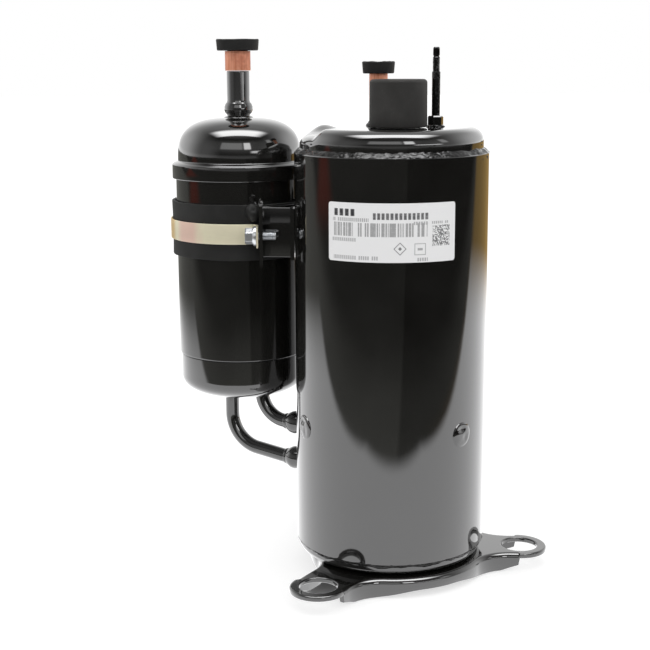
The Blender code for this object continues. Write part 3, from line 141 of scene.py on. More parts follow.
class Finish:
    """A material built up on one principled shader; places are the object's own, in metres."""

    def __init__(self, name, colour, roughness, metallic=0.0, **fixed):
        self.material = bpy.data.materials.new(name)
        self.material.use_nodes = True
        self.tree = self.material.node_tree
        self.shader = self.tree.nodes["Principled BSDF"]
        self.material.diffuse_color = (*colour, 1.0)
        self.set("Base Color", colour)
        self.set("Roughness", roughness)
        self.set("Metallic", metallic)
        for key, value in fixed.items():
            self.set(key.replace("_", " "), value)
        self.place = add(self.tree, "ShaderNodeTexCoord", out="Object")
        self.height = None

    def set(self, socket, value):
        feed(self.tree, self.shader.inputs[socket], value)

    def grain(self, size, detail=2.0, stretch=None):
        """Noise with features of about this size, drawn out by a factor along each axis."""
        place = self.place
        if stretch:
            factors = tuple(1.0 / factor for factor in stretch)
            place = add(self.tree, "ShaderNodeVectorMath", {"operation": "MULTIPLY"}, {0: place, 1: factors})
        sockets = {"Vector": place, "Scale": 0.5 / size, "Detail": detail}
        return add(self.tree, "ShaderNodeTexNoise", None, sockets)

    def specks(self, spacing, share):
        """Scattered dots about this far apart; share is the radius of a dot in spacings."""
        sockets = {"Vector": self.place, "Scale": 1.0 / spacing}
        apart = add(self.tree, "ShaderNodeTexVoronoi", None, sockets, "Distance")
        return 1 - apart.rise(share * 0.5, share)

    def round_axis(self, centre=(0.0, 0.0)):
        """Azimuth in degrees and radius about an upright axis, and the height."""
        x, y, z = split(self.tree, self.place)
        x, y = x - centre[0], y - centre[1]
        azimuth = x.sum("ARCTAN2", y, x) * math.degrees(1.0)
        return azimuth, (x * x + y * y) ** 0.5, z

    def emboss(self, height, depth):
        """Raises the surface by depth where the height is 1, on top of what is there."""
        sockets = {"Height": height, "Distance": depth, "Strength": 1.0}
        if self.height:
            sockets["Normal"] = self.height
        self.height = add(self.tree, "ShaderNodeBump", None, sockets)
        self.set("Normal", self.height)


def gloss_black(name, peel=0.012, dust=0.5, smear=0.04, depth=(0.0018, 0.0017, 0.0014)):
    """Baked black enamel with a little orange peel, faint handling marks and settled dust."""
    paint = Finish(name, depth, 0.06, Specular_IOR_Level=1.0, Coat_Weight=1.0, Coat_Roughness=0.03)
    haze = paint.grain(14 * mm, 3.0)
    marks = paint.grain(3 * mm, 4.0, (1, 1, 6)).rise(0.56, 0.74)
    motes = paint.specks(2.6 * mm, 0.055) * paint.grain(9 * mm).rise(0.5, 0.62)
    film = haze * smear + motes * dust * 0.35
    paint.set("Base Color", film.blend(depth, (0.30, 0.29, 0.27)))
    paint.set("Roughness", haze * 0.05 + marks * 0.03 + motes * 0.3 + 0.035)
    paint.set("Coat Weight", 1 - motes * 0.8)
    paint.emboss(paint.grain(5.5 * mm, 1.0), peel * mm)
    paint.emboss(paint.grain(1.1 * mm, 1.0), peel * 0.06 * mm)
    return paint


def seam_black(name):
    """The same enamel over a weld: short ripples, spatter and skinned-over pits."""
    paint = gloss_black(name, 0.02, 0.8, 0.02)
    paint.set("Specular IOR Level", 0.3)
    paint.set("Coat Weight", paint.grain(1.6 * mm, 2.0).rise(0.4, 0.7) * 0.6)
    paint.emboss(paint.grain(1.0 * mm, 3.0), 0.22 * mm)
    paint.emboss(paint.specks(1.9 * mm, 0.34), 0.15 * mm)
    return paint


def matt_rubber(name, shade, dust):
    """Moulded black rubber with a fine grain and chalky dust in it."""
    rubber = Finish(name, shade, 0.62, Specular_IOR_Level=0.35)
    cloud = rubber.grain(8 * mm, 4.0)
    fine = rubber.grain(0.45 * mm, 3.0)
    motes = rubber.specks(1.1 * mm, 0.16) * rubber.grain(4 * mm).rise(0.45, 0.6)
    pale = tuple(min(part * 3.2 + 0.02, 1.0) for part in shade)
    rubber.set("Base Color", (cloud.rise(0.35, 0.8) * 0.25 + fine * 0.12 + motes * dust).blend(shade, pale))
    rubber.set("Roughness", 0.52 + cloud * 0.16 + fine * 0.1)
    rubber.emboss(fine, 0.05 * mm)
    rubber.emboss(cloud, 0.10 * mm)
    return rubber


def drawn_copper(name):
    """Annealed copper with draw lines along the pipe, heat tint and dull oxide patches."""
    copper = Finish(name, (0.90, 0.36, 0.21), 0.38, 0.35)
    lines = copper.grain(0.35 * mm, 2.0, (1, 1, 30))
    patch = copper.grain(5 * mm, 4.0)
    bright = lines.rise(0.3, 0.7).blend((0.74, 0.25, 0.13), (0.98, 0.46, 0.30))
    copper.set("Base Color", patch.rise(0.45, 0.75).blend(bright, (0.56, 0.17, 0.09)))
    copper.set("Roughness", 0.30 + patch * 0.24 + lines * 0.08)
    copper.emboss(lines, 0.02 * mm)
    copper.emboss(copper.grain(1.2 * mm, 3.0), 0.03 * mm)
    return copper


def passivated_zinc(name, pink):
    """Zinc plate with a pale yellow passivation film that turns pink in long upright smears; by bearing round
    the tank a pink band (facing front-left) and a gold band (facing left) are painted reflection.
    """
    zinc = Finish(name, (0.90, 0.85, 0.62), 0.42, 0.35)
    brush = zinc.grain(0.3 * mm, 3.0, (12, 12, 1))
    smear = zinc.grain(9 * mm, 2.0, (1, 1, 3))
    fine = zinc.grain(2.5 * mm, 4.0)
    bearing = zinc.round_axis(TANK_AT)[0] + smear * 8.0
    # painted reflection: a pink band by bearing round the tank, where the strap faces front-left, joined with
    # random pink smears that are the film's own tint
    pink_smear_and_reflection = bearing.band(-142.0, -120.0, 6.0).over(smear.rise(0.62, 0.75) * 0.6)
    base = pink_smear_and_reflection.blend((0.95, 0.89, 0.66), pink)
    # painted reflection: a gold band by bearing round the tank, where the strap faces left
    base = (bearing.band(-175.0, -152.0, 5.0) * 0.8).blend(base, (0.80, 0.52, 0.18))
    zinc.set("Base Color", (fine * 0.16 + brush * 0.10).blend(base, (0.52, 0.46, 0.32)))
    zinc.set("Roughness", 0.34 + fine * 0.14 + brush * 0.06)
    zinc.emboss(brush, 0.012 * mm)
    return zinc


def steel(name, colour, roughness, grind=(1, 1, 1), size=0.5, stain=0.25, metallic=0.9):
    """Bare metal: a worked grain, a thin film of oil and a few dull stains."""
    metal = Finish(name, colour, roughness, metallic)
    worked = metal.grain(size * mm, 3.0, grind)
    patch = metal.grain(7 * mm, 4.0)
    dark = tuple(part * 0.55 for part in colour)
    metal.set("Base Color", (patch.rise(0.45, 0.75) * stain + worked * 0.3).blend(colour, dark))
    metal.set("Roughness", roughness - 0.06 + worked * 0.12 + patch * 0.1)
    metal.emboss(worked, 0.02 * mm)
    return metal


LABEL_FROM, LABEL_TO = -131.4, -56.0
LABEL_LOW, LABEL_HIGH = 200.2 * mm, 233.8 * mm
# each row of small print: left, right, low and high as shares of the label, blocks, seed, share filled
SMALL_PRINT = (
    (0.04, 0.33, 0.685, 0.745, 62, 11, 0.88),
    (0.66, 0.77, 0.635, 0.69, 52, 13, 0.95),
    (0.80, 0.95, 0.645, 0.69, 64, 17, 0.9),
    (0.035, 0.23, 0.345, 0.405, 60, 19, 0.92),
    (0.045, 0.40, 0.04, 0.105, 60, 23, 0.86),
    (0.69, 0.77, 0.02, 0.08, 54, 29, 0.95),
)


def split(tree, place):
    """The three coordinates of a place as separate wires."""
    apart = add(tree, "ShaderNodeSeparateXYZ", None, {0: place})
    return [Wire(tree, output) for output in apart.socket.node.outputs]


def printed_label(name):
    """White film label with plain printed marks: greeked lines, bars, a block code and two signs."""
    paper = Finish(name, (0.95, 0.95, 0.955), 0.42, Coat_Weight=0.25, Coat_Roughness=0.2)
    azimuth, reach, height = paper.round_axis()
    across = (azimuth - LABEL_FROM) / (LABEL_TO - LABEL_FROM)
    up = (height - LABEL_LOW) / (LABEL_HIGH - LABEL_LOW)

    def patch(left, right, low, high, soft=0.0025):
        return across.band(left, right, soft) * up.band(low, high, soft * 2.2)

    def dice(seed, step):
        """A random value for each step along the label."""
        cell = (across * step).sum("FLOOR", across * step) + seed
        return add(paper.tree, "ShaderNodeTexWhiteNoise", {"noise_dimensions": "1D"}, {"W": cell})

    def greeked(left, right, low, high, step, seed, filled):
        """A row of plain blocks that stands for a line of print."""
        along_line = across * step
        gap = along_line.sum("FRACT", along_line).band(0.16, 0.84, 0.12)
        return patch(left, right, low, high) * gap * (1 - dice(seed, step).rise(filled, filled + 0.01))

    ink = greeked(0.045, 0.225, 0.775, 0.895, 22, 3, 0.97)
    ink = ink.over(greeked(0.36, 0.775, 0.725, 0.835, 31, 7, 0.96) * 0.9)
    faint = greeked(*SMALL_PRINT[0])
    for line in SMALL_PRINT[1:]:
        faint = faint.over(greeked(*line))
    bars = patch(0.05, 0.765, 0.435, 0.665) * (1 - dice(37, 170).rise(0.55, 0.56))

    cell_x, cell_y = across * 150.0, up * 62.0
    corner = {0: cell_x.sum("FLOOR", cell_x), 1: cell_y.sum("FLOOR", cell_y), 2: 0.0}
    cells = add(paper.tree, "ShaderNodeCombineXYZ", None, corner)
    dots = add(paper.tree, "ShaderNodeTexWhiteNoise", {"noise_dimensions": "3D"}, {"Vector": cells})
    code = patch(0.805, 0.95, 0.27, 0.62, 0.001) * (1 - dots.rise(0.52, 0.53))

    def from_sign(middle_across, middle_up):
        """Distances in millimetres to the right or left of a sign's middle, and above or below it."""
        return abs((across - middle_across) * 77.0), abs((up - middle_up) * 33.6)

    x, y = from_sign(0.71, 0.225)
    square = x.over(y).band(2.9, 3.35, 0.12)
    square = square.over(x.over(y * 2.2).band(-1.0, 1.5, 0.15))
    x, y = from_sign(0.56, 0.235)
    diamond = (x + y).band(3.1, 3.7, 0.15).over((x + y).band(-1.0, 1.1, 0.15))
    signs = (square * 0.55).over(diamond * 0.8)

    print_mask = ink.over(faint * 0.5).over(bars * 0.6).over(code * 0.8).over(signs)
    worn = paper.grain(0.6 * mm, 3.0).rise(0.2, 0.55)
    soil = paper.grain(9 * mm, 3.0)
    film = (soil * 0.06).blend((0.95, 0.95, 0.955), (0.80, 0.80, 0.78))
    paper.set("Base Color", (print_mask * (0.75 + worn * 0.25)).blend(film, (0.045, 0.045, 0.05)))
    paper.set("Roughness", 0.36 + soil * 0.12 - print_mask * 0.08)
    paper.emboss(paper.grain(6 * mm, 2.0), 0.03 * mm)
    return paper


# each metal: colour, roughness, grind, grain in millimetres, stain and metallic
METALS = {
    "bright_zinc": ((0.80, 0.82, 0.84), 0.26, (1, 1, 1), 0.5, 0.15),
    "pressed_steel": ((0.42, 0.42, 0.41), 0.42, (6, 1, 1)),
    "machined_iron": ((0.30, 0.30, 0.29), 0.45, (1, 1, 0.2), 0.8),
    "ground_steel": ((0.58, 0.58, 0.57), 0.22, (8, 8, 1), 0.25),
    "brass_weight": ((0.72, 0.53, 0.25), 0.35, (1, 1, 1), 0.6),
    "laminated_steel": ((0.36, 0.37, 0.39), 0.4, (20, 20, 1), 0.5, 0.4),
    "enamelled_copper": ((0.62, 0.25, 0.12), 0.3, (1, 1, 6), 0.7, 0.3, 0.6),
    "cast_aluminium": ((0.66, 0.67, 0.68), 0.48, (1, 1, 1), 1.2),
}
FINISHES = {
    "black_enamel": gloss_black("black_enamel"),
    "painted_weld": seam_black("painted_weld"),
    "label_paper": printed_label("label_paper"),
    "black_rubber": matt_rubber("black_rubber", (0.010, 0.010, 0.0095), 0.25),
    "cover_rubber": matt_rubber("cover_rubber", (0.023, 0.022, 0.0205), 0.6),
    "copper_tube": drawn_copper("copper_tube"),
    "yellow_zinc": passivated_zinc("yellow_zinc", (0.88, 0.62, 0.52)),
    **{name: steel(name, *values) for name, values in METALS.items()},
    "lead_sleeving": matt_rubber("lead_sleeving", (0.42, 0.40, 0.34), 0.2),
}


# ---- shapes


def polar(radius, azimuth):
    angle = math.radians(azimuth)
    return radius * math.cos(angle), radius * math.sin(angle)


def share_of(value, low, high):
    """0 at low and 1 at high, and never beyond them."""
    return min(max((value - low) / (high - low), 0.0), 1.0)


def eased(share):
    """The same share, leaving 0 and reaching 1 smoothly."""
    return share * share * (3 - 2 * share)


def drawn(*spots, up=0.0):
    """An outline given in millimetres: each radius, and each height above up."""
    return [(radius * mm, up + height * mm) for radius, height in spots]


def arc(centre, radius, first, last, steps, start=0):
    """Points round a centre from one bearing to another, in degrees."""
    out = []
    for step in range(start, steps + 1):
        x, y = polar(radius, first + (last - first) * step / steps)
        out.append((centre[0] + x, centre[1] + y))
    return out


def softened(profile, radius, steps=4, skip=()):
    """The closed profile with its corners rounded, apart from those skipped and those on the axis."""
    out = []
    for index, spot in enumerate(profile):
        here = Vector(spot)
        a, b = Vector(profile[index - 1]) - here, Vector(profile[(index + 1) % len(profile)]) - here
        kept = spot[0] < 1e-6 or index in skip or a.length < 1e-9 or b.length < 1e-9
        half = 0.0 if kept else a.angle(b) / 2
        if kept or half > math.radians(80):
            out.append(spot)
            continue
        reach = min(radius / math.tan(half), a.length * 0.45, b.length * 0.45)
        first, last = here + a.normalized() * reach, here + b.normalized() * reach
        for step in range(steps + 1):
            share = step / steps
            way = (1 - share) ** 2 * first + 2 * share * (1 - share) * here + share**2 * last
            out.append((way.x, way.y))
    return out


def rows_up(wall, count):
    """A wall's profile with rows up its long sides, so that a rolled tube can be very slightly uneven."""
    out = []
    for near, far in zip(wall, wall[1:] + wall[:1]):
        out.append(near)
        rise = far[1] - near[1]
        if abs(rise) > 50 * mm:
            out += [(near[0], near[1] + rise * step / count) for step in (0.1, *range(1, count), count - 0.1)]
    return out


def skin(bm, rows, closed=True):
    """Faces between neighbouring rows of points; a row of one point closes an end."""
    for near, far in zip(rows, rows[1:]):
        count = max(len(near), len(far))
        if count == 1:
            continue
        for step in range(count if closed else count - 1):
            after = (step + 1) % count
            corners = ((near, step), (near, after), (far, after), (far, step))
            spots = [row[place % len(row)] for row, place in corners]
            bm.faces.new(list(dict.fromkeys(spots)))


def turned(profile, steps=AROUND, shaped=None):
    """A full turn of a closed profile of (radius, height); shaped may move each point a little."""
    bm = bmesh.new()
    rings = []
    for radius, height in profile:
        if radius < 1e-7:
            rings.append([bm.verts.new((0, 0, height))])
            continue
        ring = []
        for step in range(steps):
            angle = math.tau * step / steps
            spot = Vector((radius * math.cos(angle), radius * math.sin(angle), height))
            ring.append(bm.verts.new(shaped(spot) if shaped else spot))
        rings.append(ring)
    if profile[0][0] >= 1e-7 or profile[-1][0] >= 1e-7:
        rings.append(rings[0])
    skin(bm, rings)
    return bm


def moved(bm, offset=(0, 0, 0), matrix=None):
    if matrix is not None:
        bm.transform(matrix.to_4x4())
    bmesh.ops.translate(bm, verts=bm.verts, vec=offset)
    return bm


def facing(angle):
    """The turn that lays an upright piece down, pointing outward at an angle."""
    return Matrix.Rotation(angle, 3, "Z") @ Matrix.Rotation(math.radians(90), 3, "Y")


def at(place, height=0.0):
    return (place[0], place[1], height)


def swept(route, outer, inner, steps):
    """A round tube along a route, or a bar if there is no inner radius."""
    route = [Vector(point) for point in route]
    bm = bmesh.new()
    side = None
    layers = [outer, inner] if inner else [outer]
    loops = [[] for _ in layers]
    for index, point in enumerate(route):
        forward = (route[min(index + 1, len(route) - 1)] - route[max(index - 1, 0)]).normalized()
        if side is None:
            side = forward.orthogonal().normalized()
        side = (side - forward * side.dot(forward)).normalized()
        across = forward.cross(side)
        for layer, size in zip(loops, layers):
            loop = []
            for step in range(steps):
                turn = math.tau * step / steps
                loop.append(bm.verts.new(point + (side * math.cos(turn) + across * math.sin(turn)) * size))
            layer.append(loop)
    for layer in loops:
        skin(bm, layer)
    for end in (0, -1):
        if inner:
            skin(bm, [loops[0][end], loops[1][end]])
        else:
            bm.faces.new(loops[0][end])
    return bm


def plate_strip(path, wall, lows, highs, edge=0.35 * mm):
    """Sheet metal on edge along a path of (x, y) points, with rounded edges; heights may differ along it."""
    path = [Vector(point) for point in path]
    bm = bmesh.new()
    rows = []
    for index, point in enumerate(path):
        forward = (path[min(index + 1, len(path) - 1)] - path[max(index - 1, 0)]).normalized()
        across = Vector((-forward.y, forward.x))
        low = lows[index] if isinstance(lows, list) else lows
        high = highs[index] if isinstance(highs, list) else highs
        half = wall / 2
        section = []
        for u, v, turn in ((half, high, 0), (-half, high, 90), (-half, low, 180), (half, low, 270)):
            inside = (u - math.copysign(edge, u), v - edge if v == high else v + edge)
            section += arc(inside, edge, turn, turn + 90, 3)
        rows.append([bm.verts.new((point.x + across.x * u, point.y + across.y * u, v)) for u, v in section])
    skin(bm, rows)
    bm.faces.new(rows[0])
    bm.faces.new(rows[-1])
    return bm


def wavy(size, depth, seed=0.0):
    """A shaper that moves a point in or out by a smooth random amount."""

    def shaped(spot):
        away = Vector((spot.x, spot.y, 0))
        if away.length < 1e-6:
            return spot
        amount = noise.noise(spot / size + Vector((seed, seed * 0.7, seed * 1.3))) * depth
        return spot + away.normalized() * amount

    return shaped


def piece(name, bm, slot, body, *nodes, sharp=32):
    """Makes the finished piece, rides it on its body and lets it stand for the CAD nodes named."""
    bmesh.ops.remove_doubles(bm, verts=bm.verts, dist=1e-7)
    bmesh.ops.recalc_face_normals(bm, faces=bm.faces)
    mesh = bpy.data.meshes.new(name)
    bm.to_mesh(mesh)
    bm.free()
    mesh.shade_smooth()
    mesh.set_sharp_from_angle(angle=math.radians(sharp))
    mesh.materials.append(FINISHES[slot].material)
    obj = bpy.data.objects.new(name, mesh)
    bpy.context.scene.collection.objects.link(obj)
    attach(obj, body)
    if nodes:
        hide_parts(*nodes)
    return obj


# ---- shell


def hexagon(rows, steps, shape, first=0.0):
    """A hexagonal head as a closed ring of (radius in mm, height); shape gives a point's reach."""
    bm = bmesh.new()
    rings = []
    for radius, height in rows:
        ring = []
        for step in range(steps):
            angle = 360.0 * step / steps
            flat = radius * math.cos(math.radians(30)) / math.cos(math.radians(angle % 60 - 30))
            x, y = polar(shape(flat, radius) * mm, angle + first)
            ring.append(bm.verts.new((x, y, height)))
        rings.append(ring)
    skin(bm, rings + rings[:1])
    return bm


def lathe(name, profile, slot, *nodes, place=(0, 0, 0), soft=0.0, rounds=4, steps=AROUND, shaped=None,
          body="housing", tilt=None, sharp=32):
    """Turns a profile with softened corners, puts it in its place and makes it a piece."""
    if soft:
        profile = softened(profile, soft, rounds)
    piece(name, moved(turned(profile, steps, shaped), place, tilt), slot, body, *nodes, sharp=sharp)


def make_shell():
    wall = [(SHELL_RADIUS, SHELL_LOW), (SHELL_RADIUS, SHELL_HIGH)]
    wall += [(SHELL_BORE, SHELL_HIGH), (SHELL_BORE, SHELL_LOW)]
    wall = rows_up(softened(wall, 0.4 * mm), 48)
    lathe("shell_wall", wall, "black_enamel", "shell_tube", shaped=wavy(34 * mm, 0.035 * mm))
    for number, azimuth in enumerate((-156.0, -47.5, 78.0), 1):
        make_plug_weld(f"plug_weld_{number}", azimuth, 94.6 * mm)


def make_plug_weld(name, azimuth, height):
    """A ground plug weld: a raised round button with a hollow crescent in it."""
    rows, steps = 18, 60
    radius = 7.7 * mm
    bm = bmesh.new()
    grid = []
    for row in range(rows + 1):
        share = row / rows
        ring = []
        for step in range(steps if row else 1):
            u, v = polar(share, 360.0 * step / steps)
            lift = 1.15 * mm * max(1 - share**3.2, 0.0) ** 0.6
            lift -= 0.95 * mm * math.exp(-((u + 0.12) ** 2 / 0.10 + (v - 0.42) ** 2 / 0.05))
            lift -= 0.35 * mm * math.exp(-((u - 0.30) ** 2 / 0.05 + (v + 0.25) ** 2 / 0.20))
            lift += noise.noise(Vector((u * 2.0 + azimuth, v * 2.0, 0.0))) * 0.22 * mm * (1 - share**4)
            reach = SHELL_RADIUS + lift - (0.5 * mm if row == rows else 0.0)
            around = azimuth + math.degrees(u * radius / SHELL_RADIUS)
            ring.append(bm.verts.new(at(polar(reach, around), height + v * radius)))
        grid.append(ring)
    back = bm.verts.new(at(polar(SHELL_RADIUS - 1.2 * mm, azimuth), height))
    skin(bm, [*grid, [back]])
    piece(name, bm, "black_enamel", "housing", "shell_tube")


STEP_LINE = (-0.86, 0.51)  # direction in which the top of the cap steps down
STEP_AT, STEP_WIDTH = 21.0 * mm, 9.0 * mm
STEP_DROP = 4.2 * mm
LUMP_HEIGHT = 4.6 * mm  # how far the pressing bulges up again behind the step
LUMP_AZIMUTH, LUMP_REACH = 150.0, 46.0 * mm


def cap_step(x, y):
    """How far the top of the cap is pressed down at a place."""
    reach = x * STEP_LINE[0] + y * STEP_LINE[1]
    return STEP_DROP * eased(share_of(reach, STEP_AT, STEP_AT + STEP_WIDTH))


def make_top_cap():
    crown, wall = 8.6 * mm, 3.2 * mm
    shoulder, under = CAP_RADIUS - crown, CAP_TOP - wall
    low, inner = SHELL_HIGH - 9.0 * mm, CAP_RADIUS - wall
    rows = [(shoulder * step / 40, CAP_TOP) for step in range(40)]
    rows += arc((shoulder, CAP_TOP - crown), crown, 90, 0, 14)
    rows += [(CAP_RADIUS, SHELL_HIGH + 1.0 * mm), (CAP_RADIUS, low), (inner, low)]
    rows += [(inner, CAP_TOP - 9 * mm), (shoulder - 3 * mm, under), (0, under)]

    def pressed(spot):
        share = share_of(spot.z, SHELL_HIGH, CAP_TOP)
        sag = noise.noise(spot / (30 * mm)) * 0.12 * mm - cap_step(spot.x, spot.y)
        off_azimuth = (math.degrees(math.atan2(spot.y, spot.x)) - LUMP_AZIMUTH) / 18
        off_radius = (math.hypot(spot.x, spot.y) - LUMP_REACH) / (7 * mm)
        lump = LUMP_HEIGHT * math.exp(-(off_azimuth**2) - off_radius**2)
        flat = 0.12 * mm if share > 0.9 else 0.0
        return spot + Vector((0, 0, (sag + lump) * share - flat))

    lathe("top_cap_pressing", rows, "black_enamel", "top_cap", shaped=pressed)


def make_top_seam():
    """The bead round the top seam, lumpy along its length, with a tail where it was started."""
    low, high = SHELL_HIGH - 0.35 * mm, SHELL_HIGH + 2.7 * mm
    section = []
    for step in range(17):
        share = step / 16
        bulge = math.sin(math.pi * share) ** 0.8
        radius = SHELL_RADIUS + 0.05 * mm + (CAP_RADIUS + 0.1 * mm - SHELL_RADIUS) * share + 0.25 * mm * bulge
        section.append((radius, low + (high - low) * share))
    behind, bottom = CAP_RADIUS - 0.8 * mm, low - 0.6 * mm
    section += [(behind, high), (behind, bottom), (SHELL_RADIUS - 1.4 * mm, bottom)]

    def lumpy(spot):
        azimuth = math.degrees(math.atan2(spot.y, spot.x))
        away = Vector((spot.x, spot.y, 0)).normalized()
        if math.hypot(spot.x, spot.y) < CAP_RADIUS:
            return spot
        lump = noise.noise(spot / (1.5 * mm)) * 0.2 * mm + noise.noise(spot / (8 * mm)) * 0.3 * mm
        tail = 1.5 * mm * math.exp(-(((azimuth + 161.6) / 3.2) ** 2))
        drift = noise.noise(Vector((azimuth / 9.0, 7.0, 0.0))) * 0.7 * mm
        return spot + away * (lump + tail) + Vector((0, 0, drift + noise.noise(spot / (2.4 * mm)) * 0.3 * mm))

    lathe("top_seam_bead", section, "painted_weld", "top_seam_weld", steps=900, shaped=lumpy)
    for number in range(16):
        azimuth = chance.uniform(-175, -5)
        on_cap = number % 3
        reach = CAP_RADIUS - 0.1 * mm if on_cap else SHELL_RADIUS - 0.05 * mm
        height = chance.uniform(262.8, 266.0) * mm if on_cap else chance.uniform(255.2, 257.8) * mm
        make_spatter(f"spatter_{number + 1}", azimuth, reach, height, chance.uniform(0.35, 0.7) * mm)


def make_spatter(name, azimuth, reach, height, size):
    bm = bmesh.new()
    bmesh.ops.create_icosphere(bm, subdivisions=3, radius=size)
    for vert in bm.verts:
        vert.co *= 1 + noise.noise(vert.co / size * 1.3 + Vector((azimuth, 0, 0))) * 0.35
        vert.co.z *= 0.8
    x, y = polar(reach, azimuth)
    piece(name, moved(bm, (x, y, height)), "painted_weld", "housing")


def make_bottom_cap():
    lip, neck = 57.2, CAP_RADIUS / mm
    outer = drawn(
        (0, 0), (29.0, 0), (31.5, 0.25), (44.6, 6.0), (45.5, 8.0), (45.5, 10.6), (47.0, 11.5),
        (lip - 3.6, 11.5), (lip - 1.3, 12.6), (lip - 0.2, 14.6), (lip, 16.4), (lip, 18.2), (neck, 18.2),
        (neck, 27.6), (52.0, 27.6), (52.0, 16.5), (41.5, 14.5), (29.0, 3.2), (0, 3.2),
    )
    lathe("bottom_cap_pressing", outer, "black_enamel", "bottom_cap", soft=0.8 * mm, rounds=3)

    section = []
    for step in range(9):
        share = step / 8
        bulge = math.sin(math.pi * share) ** 0.7
        section.append((lip + 0.15 + 1.1 * bulge, 16.6 + 3.0 * share))
    section = drawn(*section, (lip - 1.2, 19.6), (lip - 1.2, 16.6))

    def lumpy(spot):
        away = Vector((spot.x, spot.y, 0)).normalized()
        patch = max(noise.noise(spot / (9 * mm) + Vector((3, 0, 0))), -0.2)
        fine = noise.noise(spot / (1.6 * mm)) * 0.34 * mm
        sag = noise.noise(spot / (7 * mm) + Vector((0, 4, 0))) * 1.3 * mm
        return spot + away * (patch * 0.8 * mm + fine) + Vector((0, 0, sag))

    lathe("bottom_seam_bead", section, "painted_weld", "bottom_cap", steps=720, shaped=lumpy)


def make_label():
    """The label, as a thin film with rounded corners that follows the shell."""
    corner = 1.2 * mm
    inner, outer = SHELL_RADIUS + 0.08 * mm, SHELL_RADIUS + 0.24 * mm
    columns = 96
    bm = bmesh.new()
    sides = []
    for reach in (outer, inner):
        grid = []
        for step in range(columns + 1):
            azimuth = LABEL_FROM + (LABEL_TO - LABEL_FROM) * step / columns
            edge = min(azimuth - LABEL_FROM, LABEL_TO - azimuth) * math.radians(1.0) * SHELL_RADIUS
            trim = corner - math.sqrt(max(corner**2 - max(corner - edge, 0.0) ** 2, 0.0))
            heights = (LABEL_LOW + trim, LABEL_LOW + 3 * mm, LABEL_HIGH - 3 * mm, LABEL_HIGH - trim)
            grid.append([bm.verts.new(at(polar(reach, azimuth), height)) for height in heights])
        sides.append(grid)
    for grid in sides:
        skin(bm, grid, closed=False)
    for end in (0, -1):
        skin(bm, [[column[end] for column in grid] for grid in sides], closed=False)
        skin(bm, [grid[end] for grid in sides], closed=False)
    piece("label_film", bm, "label_paper", "housing", "name_label")


# ---- base plate


def waist_after(azimuth):
    """The plate's radius between the ear at this azimuth and the next one."""
    return 50.5 * mm if azimuth > 100.0 else 62.0 * mm


def ear_half(waist):
    """Half of one ear's outline in its own frame, with the direction that is outward at each point."""
    fillet = 24.0 * mm
    middle = (0.0, 0.0)
    reach, offset = waist + fillet, EAR_RADIUS + fillet
    start = math.sqrt(reach**2 - offset**2)
    turn = math.degrees(math.atan2(offset, start))
    rows = list(zip(arc((EAR_REACH, 0.0), EAR_RADIUS, 0, 90, 24), arc(middle, 1.0, 0, 90, 24)))
    rows += [((EAR_REACH + (start - EAR_REACH) * step / 8, EAR_RADIUS), (0.0, 1.0)) for step in range(1, 8)]
    hollow = (-90, turn - 180, 16)
    rows += zip(arc((start, offset), fillet, *hollow), arc(middle, -1.0, *hollow))
    rows += zip(arc(middle, waist, turn, 60, 20, 1), arc(middle, 1.0, turn, 60, 20, 1))
    return rows


def skirt_depth(x, y):
    """Height of the turned-down edge above the floor, in an ear's frame."""
    foot, heel = 8.0 * mm, 3.5 * mm
    ramp_from, heel_from, heel_to = 70.0 * mm, 80.8 * mm, 81.4 * mm
    if x > heel_to or (y < EAR_RADIUS - 0.5 * mm and x > EAR_REACH):
        return foot
    if x > heel_from:
        return heel + share_of(x, heel_from, heel_to) * (foot - heel)
    if x > ramp_from:
        return heel * share_of(x, ramp_from, heel_from)
    return 3.9 * mm * eased(share_of(math.degrees(math.atan2(y, x)), 20.0, 50.0))


